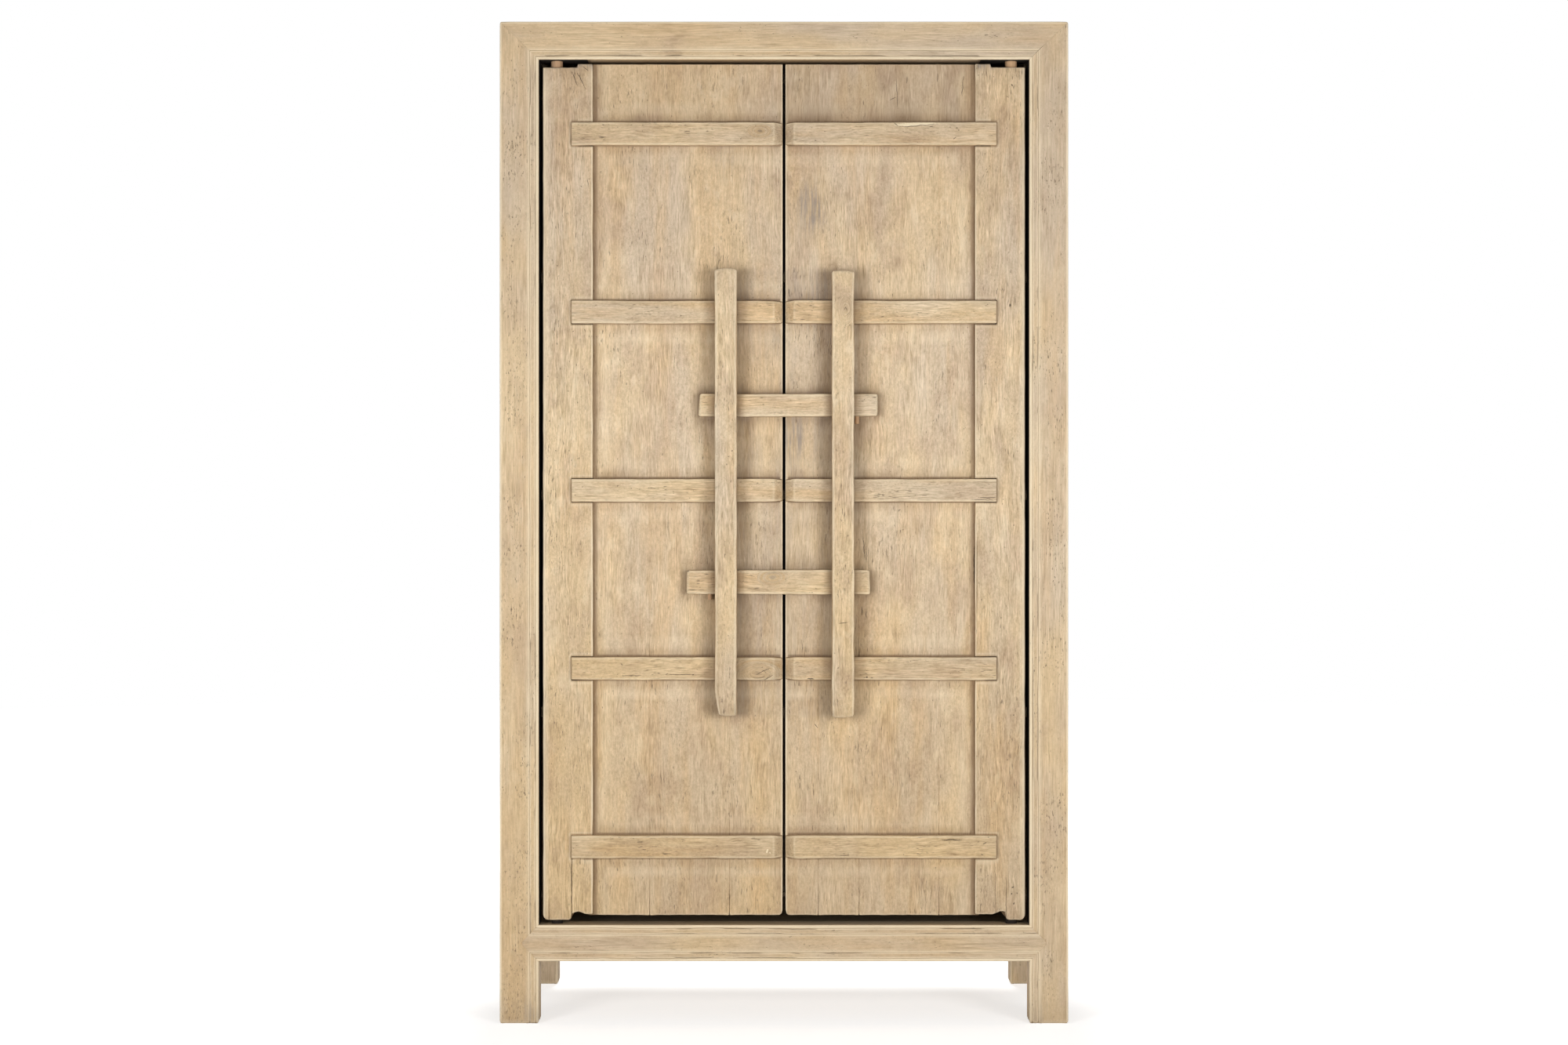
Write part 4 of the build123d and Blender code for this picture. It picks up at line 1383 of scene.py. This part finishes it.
# %% The pivot stiles
HEEL_STEPS = {LEFT: 0.3805, RIGHT: 0.3970}
BITES = {LEFT: (0.3690, 0.0160, 0.0050), RIGHT: (0.3900, 0.0190, 0.0055)}
TOP_STEP = 0.3695
HEEL_DEPTH = 0.0095
HEEL_ROUND = 0.0095
HEEL_STEP_ROUND = 0.0060
PIVOT_DROP = 0.006
heel_foot = stile_low.z
shoulder_foot = heel_foot + HEEL_DEPTH
step_top = stile_high.z
pivot_top = step_top - PIVOT_DROP


def stile_foot(side, seed):
    """A rounded heel on the outside, and a higher, chipped shoulder with a bite broken out of it inside."""
    shoulder = ragged_foot(shoulder_foot - 0.0004, seed, 0.006)
    heel_step = HEEL_STEPS[side]
    bite_x, bite_width, bite_height = BITES[side]

    def foot(x, y):
        x = np.asarray(x)
        rounded = quarter(np.clip(stile_high.x - x, 0, None), HEEL_ROUND)
        rounded = rounded + quarter(np.clip(x - heel_step, 0, None), HEEL_STEP_ROUND)
        bite = bite_height * fade(np.abs(x - bite_x), bite_width)
        return np.where(x > heel_step, heel_foot + rounded, shoulder(x, y) + bite)
    return foot


def stile_head(seed):
    """The raised step of the inside edge, and the lower head under the pivot."""
    shoulder = ragged_foot(0.0, seed + 4, 0.002)

    def head(x, y):
        return np.where(x < TOP_STEP, step_top, pivot_top) - shoulder(x, y)
    return head


# Painted shade on each stile's rounded outer edge, beside the gap at the leg.
OUTER_EDGE_SHADE = {LEFT: 0.30, RIGHT: 0.50}


# Dirt on a stile and dark lines round the batten housings, with painted shade on its outer edge and in the
# hidden gaps at its foot and head.
def stile_dirt_and_shade(side, seed):
    def glaze_and_shade(points, outward):
        x, y, z = points.T
        patchy = 0.6 + 0.4 * unevenness(points, (0.03, 0.03, 0.10), seed)
        end_gap = np.clip(x - BATTEN_END, 0, None)
        beside_end = np.hypot(end_gap, np.minimum(*from_battens(z)))
        on_front = y < board_front
        dirt_and_shadow = (0.85 * fade(beside_end, 0.0020) + 0.18 * fade(beside_end, 0.012) * patchy) * on_front
        dirt_and_shadow += 0.20 * fade(z - heel_foot, 0.030) * patchy + 0.22 * fade(step_top - z, 0.05) * patchy
        # Painted shade on the rounded outer edge.
        dirt_and_shadow += OUTER_EDGE_SHADE[side] * fade(stile_high.x - x, 0.0045)
        # Painted shade: the hidden parts at the heel and under the pivot are black.
        hollow_top = (x > TOP_STEP) & (z > pivot_top - 0.002)
        hidden = (y > stile_low.y + 0.006) & ((z < heel_foot + 0.010) | hollow_top)
        return np.where(hidden, 1.0, dirt_and_shadow * (outward[:, 1] < 0.5))
    return glaze_and_shade


def stile_rub(points, outward):
    """A bright worn arris along the boards, round the housing of each batten's end and near the outside."""
    x, _, z = points.T
    edge = fade(x - stile_low.x, 0.0024)
    end_gap = np.clip(x - BATTEN_END, 0, None)
    beside_end = np.hypot(end_gap, np.minimum(*from_battens(z)))
    housing = fade(np.abs(beside_end - 0.0035), 0.0022)
    outer = fade(np.abs(stile_high.x - x - 0.0075), 0.0050)
    return (0.95 * edge + 0.55 * housing + 0.40 * outer) * (outward[:, 1] < -0.5)


def stile_stain(points):
    """Grey weathered end grain on the raised step."""
    x, _, z = points.T
    patchy = swells(points, (0.012, 0.03, 0.012), 133)
    return fade(step_top - z, 0.016) * fade(np.clip(x - TOP_STEP, 0, None), 0.022) * (0.5 + patchy)


def stile_checks(seed):
    """Splits and open pores, most at the top and at the heel."""
    def checks(points):
        z = points[:, 2]
        patchy = swells(points, (0.04, 0.03, 0.12), seed + 8)
        ends = fade(step_top - z, 0.10) + 0.8 * fade(z - heel_foot, 0.05)
        return np.clip(0.8 * patchy**2 + 0.95 * ends * (0.3 + patchy), 0, 1)
    return checks


BATTEN_END = batten_high.x
STILE_CRACKS = {LEFT: [(0.3798, 0.193, 0.293, 0.004), (0.4207, 0.184, 0.205, 0.005)],
                RIGHT: [(0.3800, 0.186, 0.200, 0.003), (0.3452, 0.750, 0.850, 0.006)]}
CRACK_HALF = 0.0006
CRACK_RUNOUT = 0.02


def crack_places(side):
    return sorted(x + shift for x, _, _, _ in STILE_CRACKS[side] for shift in (-CRACK_HALF, 0, CRACK_HALF))


def open_cracks(side, then):
    """Opens each crack as a narrow wedge that runs out at both ends, after the face has its hewn shape."""
    def shape(points, outward):
        points = then(points, outward)
        x, _, z = points.T
        for place, low, high, depth in STILE_CRACKS[side]:
            inside = (np.abs(x - place) < CRACK_HALF / 2) & (outward[:, 1] < -0.8)
            past_end = np.clip(np.maximum(low - z, z - high), 0, None)
            points[:, 1] += np.where(inside, depth * fade(past_end, CRACK_RUNOUT), 0)
        return points
    return shape


def hewn_stile(seed):
    def shape(points, outward):
        facing = outward[:, 1] < -0.8
        swell = swells(points, (0.05, 1.0, 0.20), seed)
        slanting = points + points[:, 2:] * np.array([0.5, 0, 0])
        hack = np.maximum(0, unevenness(slanting, (0.009, 1.0, 0.022), seed + 2) - 0.15)
        near_top = fade(step_top - points[:, 2], 0.09) + 0.5 * fade(points[:, 2] - heel_foot, 0.05)
        points[:, 1] += np.where(facing, 0.0009 * swell + 0.0034 * hack * near_top, 0)
        return points
    return shape


stile_cuts = board_cuts + [heel_foot + 0.010, heel_foot + 0.018, pivot_top - 0.008, pivot_top - 0.016]
# The extra points of the outline round the heel's step and near the outside, and those at each step's middle.
HEEL_SHIFTS = (-0.0050, -0.0025, -0.0004, 0.0012, 0.0030, 0.0055)
OUTER_STEPS = (0.0095, 0.0070, 0.0052)
STEP_HALF = 0.0006
CLOSEST_PLACES = 0.0002
outer_places = [stile_high.x - away for away in OUTER_STEPS]
for side in (LEFT, RIGHT):
    node = f"{SIDE_NAMES[side]}_pivot_stile"
    seed = 130 + side
    heel_places = [HEEL_STEPS[side] + shift for shift in HEEL_SHIFTS]
    places = crack_places(side) + heel_places + outer_places + [TOP_STEP - STEP_HALF, TOP_STEP + STEP_HALF]
    places = sorted(place for index, place in enumerate(places)
                    if all(abs(place - earlier) > CLOSEST_PLACES for earlier in places[:index]))
    front = [(x, stile_low.y, 0.0) for x in places]
    back = [(step + shift, stile_high.y, 0.0) for step in (HEEL_STEPS[side], TOP_STEP)
            for shift in (STEP_HALF, -STEP_HALF)]
    corners = [(stile_low.x, stile_low.y, 0.0016)] + front + [(stile_high.x, stile_low.y, 0.0045)]
    corners += [(stile_high.x, stile_high.y, 0.007)] + back + [(stile_low.x, stile_high.y, 0.0016)]
    make_timber(node, "Z", corners, stile_foot(side, seed), stile_head(seed), old_elm["Z"], "old_elm", seed,
                side, spacing=0.0060, step=0.010, rounds=(0.0025, 0.0018), cuts=stile_cuts, hewn=0.0002,
                nicked=0.0009, shape=open_cracks(side, hewn_stile(seed)), glaze_and_shade=stile_dirt_and_shade(side, seed),
                rub=stile_rub, stain=stile_stain, checks=stile_checks(seed))
print("stiles from", round(heel_foot, 4), "to", round(step_top, 4), "m")


# %% The battens
BEVEL_LENGTH = 0.0165
BEVEL_DEPTH = 0.0112
# The strength of the painted shade on each batten's bevel facet.
BEVEL_SHADE = {LEFT: 0.30, RIGHT: 0.34}
BEVEL_SOFT = 0.0040
BATTEN_HOUSING = 0.0045
BEVEL_SHARES = (0.35, 0.55, 0.7, 0.8, 0.9, 1.0, 1.1, 1.25)
BAR_EDGE = 0.003
MEETING_EDGE = board_low.x + 0.0004


def bevel_edge(z, middle):
    """Where the flat face of a batten begins: nearest the meeting edge at mid-height, and further from it at
    the corners, which are rounded off."""
    across = np.clip(np.abs(z - middle) / batten_half, 0, 1)
    return MEETING_EDGE + BEVEL_LENGTH * (0.86 + 0.30 * np.clip(across - 0.55, 0, None) ** 2 / 0.2)


def batten_shape(low, high, seed):
    """Hewn edges that wander, and a meeting end bevelled back along a curve."""
    middle = (low.z + high.z) / 2

    def shape(points, outward):
        x, y, z = points.T
        side_line = np.stack([x, np.sign(z - middle), np.zeros(len(x))], axis=1)
        wander = swells(side_line, (0.085, 0.7, 1.0), seed)
        nibble = swells(side_line, (0.020, 0.7, 1.0), seed + 1)
        in_front = np.clip((high.y - 0.004 - y) / 0.006, 0, 1)
        ending = fade(x - MEETING_EDGE, 0.020) * 0.0022 * in_front
        points[:, 2] -= (z - middle) / batten_half * (0.0011 * wander + 0.0008 * nibble + ending)
        length = bevel_edge(z, middle) - MEETING_EDGE
        back = BEVEL_DEPTH * np.clip(1 - (x - MEETING_EDGE) / length, 0, 1) ** 1.1
        points[:, 1] = np.maximum(y, low.y + back)
        swell = swells(points, (0.07, 1.0, 0.02), seed + 2)
        points[:, 1] += np.where(outward[:, 1] < -0.5, 0.0010 * swell, 0)
        return points
    return shape


def batten_dirt_and_shadow(low, high, side, seed):
    """Painted shade low on a batten's sides next to the boards, painted shadow mixed with grime beside the
    bar that crosses it, painted shade on its bevel, and a dark line at its end in the stile.
    """
    bar_left, bar_right = mirrored(*BAR_BOXES[side], side)
    crossed = BAR_BOXES[side][0].z < low.z < BAR_BOXES[side][1].z

    def glaze_and_shade(points, outward):
        x, y, z = points.T
        patchy = 0.6 + 0.4 * unevenness(points, (0.05, 0.03, 0.012), seed)
        # Painted shade where the batten's sides meet the boards.
        dirt_and_shadow = 0.75 * fade(high.y - 0.004 - y, 0.006) * (outward[:, 1] > -0.6)
        if crossed:
            # Painted shadow of the bar, mixed with grime.
            beside_bar = np.clip(np.maximum(bar_left - x, x - bar_right), 0, None)
            dirt_and_shadow += 0.38 * fade(beside_bar, 0.020) * patchy + 0.30 * fade(beside_bar, 0.004)
        bevel_start = bevel_edge(z, (low.z + high.z) / 2)
        mottled = 0.62 + 0.38 * unevenness(points, (0.006, 0.03, 0.008), seed + 3)
        deepest = 0.55 + 0.45 * fade(x - MEETING_EDGE, 0.012)
        on_bevel = np.clip((bevel_start - x) / BEVEL_SOFT, 0, 1) * deepest * mottled
        # Painted shade on the bevel facet.
        dirt_and_shadow += BEVEL_SHADE[side] * on_bevel * (outward[:, 1] < 0.5) + 0.25 * fade(high.x - x, 0.0018)
        return dirt_and_shadow
    return glaze_and_shade


def batten_rub(low, high):
    """Pale worn edges along a batten, and round the end of its flat face."""
    middle = (low.z + high.z) / 2

    def rub(points, outward):
        x, _, z = points.T
        long_edge = fade(np.abs(batten_half - np.abs(z - middle) - 0.0035), 0.0025)
        end_edge = fade(np.abs(x - bevel_edge(z, middle) - 0.0015), 0.0030)
        return (0.24 * long_edge + 0.32 * end_edge) * (outward[:, 1] < -0.4)
    return rub


def batten_checks(seed):
    """Splits run in from the ends, and open pores lie in patches."""
    def checks(points):
        x, _, _ = points.T
        patchy = swells(points, (0.07, 0.03, 0.02), seed + 8)
        ends = fade(x - MEETING_EDGE - 0.02, 0.06) + fade(high.x - x, 0.04)
        return np.clip(0.9 * patchy**2 + 0.5 * ends * patchy, 0, 1)
    return checks


for side in (LEFT, RIGHT):
    for number in range(1, 6):
        node = f"{SIDE_NAMES[side]}_door_batten_{number}"
        low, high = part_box(f"right_door_batten_{number}")
        face_back = board_front + BATTEN_HOUSING
        corners = box_corners(low.y, face_back, low.z, high.z, (0.0030, 0.0005, 0.0005, 0.0030))
        seed = 150 + 7 * number + side
        cuts = [MEETING_EDGE + BEVEL_LENGTH * share for share in BEVEL_SHARES]
        cuts += [bar_x + shift for bar_x in mirrored(*BAR_BOXES[side], side)
                 for shift in (-BAR_EDGE, 0, BAR_EDGE)]
        make_timber(node, "X", corners, MEETING_EDGE, high.x, old_elm["X"], "old_elm", seed, side,
                    spacing=0.0050, step=0.008, rounds=(0.0022, 0.0012), cuts=cuts, hewn=0.0002,
                    nicked=0.0010, shape=batten_shape(low, high, seed),
                    glaze_and_shade=batten_dirt_and_shadow(low, high, side, seed), rub=batten_rub(low, high),
                    checks=batten_checks(seed), worn=0.45)
print("battens", round(batten_high.x - batten_low.x, 3), "m long")

# %% [markdown]
# ## Bars and bolts
# The upright bars are roughly squared sticks with softened edges. They are cut out behind where the bolts
# pass, and those cut-outs show from the side once a bolt is drawn. The bolts themselves are smoother, with
# rounded, slightly slanted ends from years of pushing.

# %% The bars
BOLT_ROOM = 0.0015
BAR_MIDDLE = 0.1035
BAR_HALF = 0.0205
BAR_FRONT_EDGES = -0.24
TAPER_HEIGHT = 0.040
TAPER = 0.0085
NOTCH_EDGE = 0.0003


def bar_notches():
    """The heights between which a bar is cut out behind, from each bolt's own height."""
    return [(low.z - BOLT_ROOM, high.z + BOLT_ROOM) for low, high in BOLT_BOXES]


def bar_shape(low, high, side, seed):
    """Wandering hewn edges, the cut-outs for the bolts, and each bar's own ends."""
    middle_x = (low.x + high.x) / 2
    notch_y = BOLT_BOXES[0][0].y - 0.0005

    def shape(points, outward):
        x, y, z = points.T
        edge_line = np.stack([np.sign(x - middle_x), np.sign(y - BAR_FRONT_EDGES), z], axis=1)
        wander = swells(edge_line, (0.7, 0.7, 0.11), seed)
        nibble = swells(edge_line, (0.7, 0.7, 0.026), seed + 1)
        half = (high.x - low.x) / 2
        points[:, 0] -= (x - middle_x) / half * (0.0012 * wander + 0.0008 * nibble)
        if side == LEFT:
            taper = np.clip(1 - (z - low.z) / TAPER_HEIGHT, 0, 1)
            points[:, 0] -= np.where(x > middle_x, TAPER * taper * (x - middle_x) / half, 0)
        for bottom, top in bar_notches():
            behind = (z > bottom) & (z < top) & (y > notch_y)
            points[:, 1] = np.where(behind, notch_y, points[:, 1])
        swell = swells(points, (0.02, 1.0, 0.10), seed + 2)
        points[:, 1] += np.where(outward[:, 1] < -0.5, 0.0014 * swell, 0)
        return points
    return shape


def bar_end(base, inward, bow, slant, seed):
    """A sawn and rubbed end: bowed in the middle, slanted a little, and rough."""
    def end(x, y):
        across = (np.asarray(x) - BAR_MIDDLE) / BAR_HALF
        flat = np.stack([np.ravel(x), np.ravel(y), np.zeros(np.size(x))], axis=1)
        rough = swells(flat, (0.012, 0.012, 1), seed).reshape(np.shape(x))
        return base + inward * (bow * across**2 + slant * (1 + across) / 2 + 0.0018 * rough)
    return end


def bar_dirt_and_shade(points, outward):
    """Painted shade on the sides next to the battens, grime at the foot, and shallow bruises on the face."""
    _, y, z = points.T
    # Painted shade where the bar's sides meet the battens.
    behind = 0.5 * fade(batten_front - 0.004 - y, 0.006) * (outward[:, 1] > -0.6)
    bruise = np.clip(unevenness(points, (0.016, 0.03, 0.035), 218) - 0.35, 0, 1)
    return behind + 0.16 * fade(z - BAR_BOXES[RIGHT][0].z, 0.03) + 0.30 * bruise


def bar_checks(points):
    patchy = swells(points, (0.03, 0.03, 0.11), 219)
    foot = fade(points[:, 2] - BAR_BOXES[RIGHT][0].z, 0.10)
    return np.clip(0.9 * patchy**2 + 0.45 * foot, 0, 1)


for side in (LEFT, RIGHT):
    node = f"{SIDE_NAMES[side]}_bar"
    low, high = (corner.copy() for corner in BAR_BOXES[side])
    low.x, high.x = mirrored(*BAR_BOXES[side], side)
    seed = 210 + 4 * side
    radius = 0.0030 if side == RIGHT else 0.0036
    corners = box_corners(low.x, high.x, low.y, high.y, (radius, radius, 0.002, 0.002))
    bow = 0.0030 if side == LEFT else 0.0006
    cuts = [place + shift for pair in bar_notches() for place in pair for shift in (-NOTCH_EDGE, NOTCH_EDGE)]
    foot_end = bar_end(low.z, 1, 0.0015, 0.001, seed)
    head_end = bar_end(high.z, -1, bow, 0.001, seed + 1)
    make_timber(node, "Z", corners, foot_end, head_end, old_elm["Z"], "old_elm", seed, side, spacing=0.0055,
                step=0.008, rounds=(0.0035, 0.0035), cuts=cuts, hewn=0.0003, nicked=0.0016,
                shape=bar_shape(low, high, side, seed), glaze_and_shade=bar_dirt_and_shade, checks=bar_checks, worn=0.55)
print("bars", round(bar_high.z - bar_low.z, 3), "m tall")

# %% The bolts
def bolt_end(base, inward, slant, low, high):
    """A bolt's end, leaning a little from bottom to top."""
    def end(y, z):
        share = (np.asarray(z) - low.z) / (high.z - low.z)
        return base + inward * slant * share
    return end


def bolt_shape(low, high, seed):
    def shape(points, outward):
        x, _, z = points.T
        middle = (low.z + high.z) / 2
        half = (high.z - low.z) / 2
        edge_line = np.stack([x, np.sign(z - middle), np.zeros(len(x))], axis=1)
        wander = swells(edge_line, (0.09, 0.7, 1.0), seed)
        points[:, 2] -= (z - middle) / half * 0.0016 * wander
        swell = swells(points, (0.06, 1.0, 0.02), seed + 2)
        points[:, 1] += np.where(outward[:, 1] < -0.5, 0.0009 * swell, 0)
        return points
    return shape


# Painted shade on a bolt's sides next to the boards, and painted shadow of the bars on its face.
def bolt_dirt_and_shadow(points, outward):
    x, y, z = points.T
    dirt_and_shadow = 0.6 * fade(board_front - 0.002 - y, 0.008) * (outward[:, 1] > -0.6)
    for side in (LEFT, RIGHT):
        low, high = BAR_BOXES[side]
        outside, uncovered = round_box(x, low.x, high.x, z, 0, cabinet_height)
        beside_bar = 0.36 * fade(outside, 0.014) + 0.35 * fade(outside, 0.0035)
        dirt_and_shadow += beside_bar * uncovered * (outward[:, 1] < 0.5)
    return dirt_and_shadow


def bolt_checks(points):
    patchy = swells(points, (0.08, 0.03, 0.03), 239)
    ends = fade(np.minimum(points[:, 0] - BOLT_BOXES[0][0].x, BOLT_BOXES[0][1].x - points[:, 0]), 0.03)
    return np.clip(0.8 * patchy**2 + 0.7 * ends, 0, 1)


BOLT_SLANTS = {"upper_bolt": (0.003, 0.0), "lower_bolt": (0.001, 0.0015)}
for number, (node, (low, high)) in enumerate(zip(BOLT_SLANTS, BOLT_BOXES)):
    slants = BOLT_SLANTS[node]
    corners = box_corners(low.y, high.y, low.z, high.z, (0.0030, 0.0015, 0.0015, 0.0030))
    seed = 230 + 5 * number
    make_timber(node, "X", corners, bolt_end(low.x, 1, slants[0], low, high),
                bolt_end(high.x, -1, slants[1], low, high), old_elm["X"], "old_elm", seed, spacing=0.005,
                step=0.007, rounds=(0.0036, 0.0036), hewn=0.0002, nicked=0.0012,
                shape=bolt_shape(low, high, seed), glaze_and_shade=bolt_dirt_and_shadow, checks=bolt_checks, worn=0.6)
print("bolts", round(BOLT_BOXES[0][1].x - BOLT_BOXES[0][0].x, 3), "m long")


# %% [markdown]
# ## Round pins
# The pivots and the bolts' stop pegs are plain turned dowels of newer, unglazed wood. The foot pivots stand
# in the dark gap under the doors, and are painted black there as shade. The same timber builder makes them
# from a many-cornered outline, with rounded ends.

# %% The pins
PIN_SIDES = 16


def round_corners(x, y, radius):
    angles = [2 * math.pi * step / PIN_SIDES for step in range(PIN_SIDES)]
    return [(x + radius * math.cos(angle), y + radius * math.sin(angle), 0.0) for angle in angles]


def make_pin(node, seed, dirt_and_shadow=0.0):
    low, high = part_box(node)
    corners = round_corners((low.x + high.x) / 2, (low.y + high.y) / 2, (high.x - low.x) / 2)
    make_timber(node, "Z", corners, low.z, high.z, bare_dowel, "bare_dowel", seed, spacing=0.01, step=0.01,
                rounds=(PLAIN_END, PLAIN_END), hewn=0.0001, nicked=0.0, worn=0.0,
                glaze_and_shade=lambda points, outward: np.full(len(points), dirt_and_shadow))


for number, word in enumerate(SIDE_NAMES.values()):
    make_pin(f"{word}_top_pivot", 250 + number)
    # Painted shade: the foot pivots are made black.
    make_pin(f"{word}_bottom_pivot", 254 + number, 1.0)
make_pin("upper_bolt_peg", 258)
make_pin("lower_bolt_peg", 259)
print("pins made,", len(pieces_made), "pieces in all")

# %% [markdown]
# ## Light, floor and background
# Two broad soft lamps stand left and right of the camera near half height, so the bars cast a soft shadow to
# each side and hardly any below. A third stands behind and above, for the back and the top. The surroundings
# fill the rest evenly. Only the camera, and reflections, see them as white.

# %% Light
LAMP_DISTANCE = 3.4
LAMP_ANGLE = 31
LAMP_PLACE_UP = 0.48
LAMP_WIDTH = 1.0
LAMP_HEIGHT = 1.3
LAMP_POWERS = {LEFT: 48, RIGHT: 51}
REAR_LAMP_PLACE = (0.0, 3.0, 2.9)
REAR_LAMP_TILT = 58
REAR_LAMP_POWER = 80
FILL = 0.22


def soft_lamp(name, place, turn, power):
    lamp = bpy.data.lights.new(name, "AREA")
    lamp.shape = "RECTANGLE"
    lamp.size, lamp.size_y = LAMP_WIDTH, LAMP_HEIGHT
    lamp.energy = power
    lamp_object = bpy.data.objects.new(name, lamp)
    bpy.context.scene.collection.objects.link(lamp_object)
    lamp_object.location = place
    lamp_object.rotation_euler = turn


for side in (LEFT, RIGHT):
    angle = math.radians(LAMP_ANGLE)
    x, y = side * LAMP_DISTANCE * math.sin(angle), front_face - LAMP_DISTANCE * math.cos(angle)
    turn = (math.radians(90), 0, side * angle)
    soft_lamp(f"lamp_{SIDE_NAMES[side]}", (x, y, cabinet_height * LAMP_PLACE_UP), turn, LAMP_POWERS[side])
soft_lamp("lamp_behind", REAR_LAMP_PLACE, (math.radians(-REAR_LAMP_TILT), 0, 0), REAR_LAMP_POWER)

world = bpy.data.worlds.new("soft_surroundings")
bpy.context.scene.world = world
tree = Tree(world)
rays = tree.node("ShaderNodeLightPath")
seen = rays["Is Camera Ray"].at_least(rays["Is Glossy Ray"]).at_least(rays["Is Transmission Ray"])
fill = tree.node("ShaderNodeBackground", None, {"Color": WHITE, "Strength": FILL})["Background"]
plain = tree.node("ShaderNodeBackground", None, {"Color": WHITE, "Strength": 1.0})["Background"]
mixed = tree.node("ShaderNodeMixShader", None, {0: seen, 1: fill, 2: plain})[0]
tree.node("ShaderNodeOutputWorld", None, {"Surface": mixed})
print("lamps at", LAMP_ANGLE, "degrees, fill", FILL)


# %% Floor
FLOOR_RADIUS = 9.0
FLOOR_SIDES = 96
FLOOR_GLOW = 0.60
FLOOR_COLOUR = (0.86, 0.86, 0.86, 1)
GLOW_RISE = (0.7, 3.6)


def pale_floor():
    material = bpy.data.materials.new("pale_floor")
    floor_tree = Tree(material)
    path = floor_tree.node("ShaderNodeLightPath")
    seen = path["Is Camera Ray"].at_least(path["Is Glossy Ray"])
    place = floor_tree.node("ShaderNodeTexCoord")["Object"]
    away = floor_tree.vector("LENGTH", place)
    strength = seen * (FLOOR_GLOW + (1 - FLOOR_GLOW) * away.between(*GLOW_RISE))
    matt = floor_tree.node("ShaderNodeBsdfDiffuse", None, {"Color": FLOOR_COLOUR})["BSDF"]
    glow = floor_tree.node("ShaderNodeEmission", None, {"Color": WHITE, "Strength": strength})["Emission"]
    both = floor_tree.node("ShaderNodeAddShader", None, {0: matt, 1: glow})[0]
    floor_tree.node("ShaderNodeOutputMaterial", None, {"Surface": both})
    angles = [2 * math.pi * step / FLOOR_SIDES for step in range(FLOOR_SIDES)]
    rim = [(FLOOR_RADIUS * math.cos(angle), FLOOR_RADIUS * math.sin(angle), 0) for angle in angles]
    mesh = bpy.data.meshes.new("floor")
    mesh.from_pydata(rim, [], [tuple(range(FLOOR_SIDES))])
    mesh.materials.append(material)
    floor = bpy.data.objects.new("floor", mesh)
    bpy.context.scene.collection.objects.link(floor)


pale_floor()
bpy.context.scene.view_settings.view_transform = "Standard"
print("floor laid")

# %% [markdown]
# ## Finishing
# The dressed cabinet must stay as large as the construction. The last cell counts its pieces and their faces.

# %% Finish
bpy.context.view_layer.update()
faces = sum(len(piece.data.polygons) for piece in pieces_made)
print("pieces", len(pieces_made), "faces", faces)
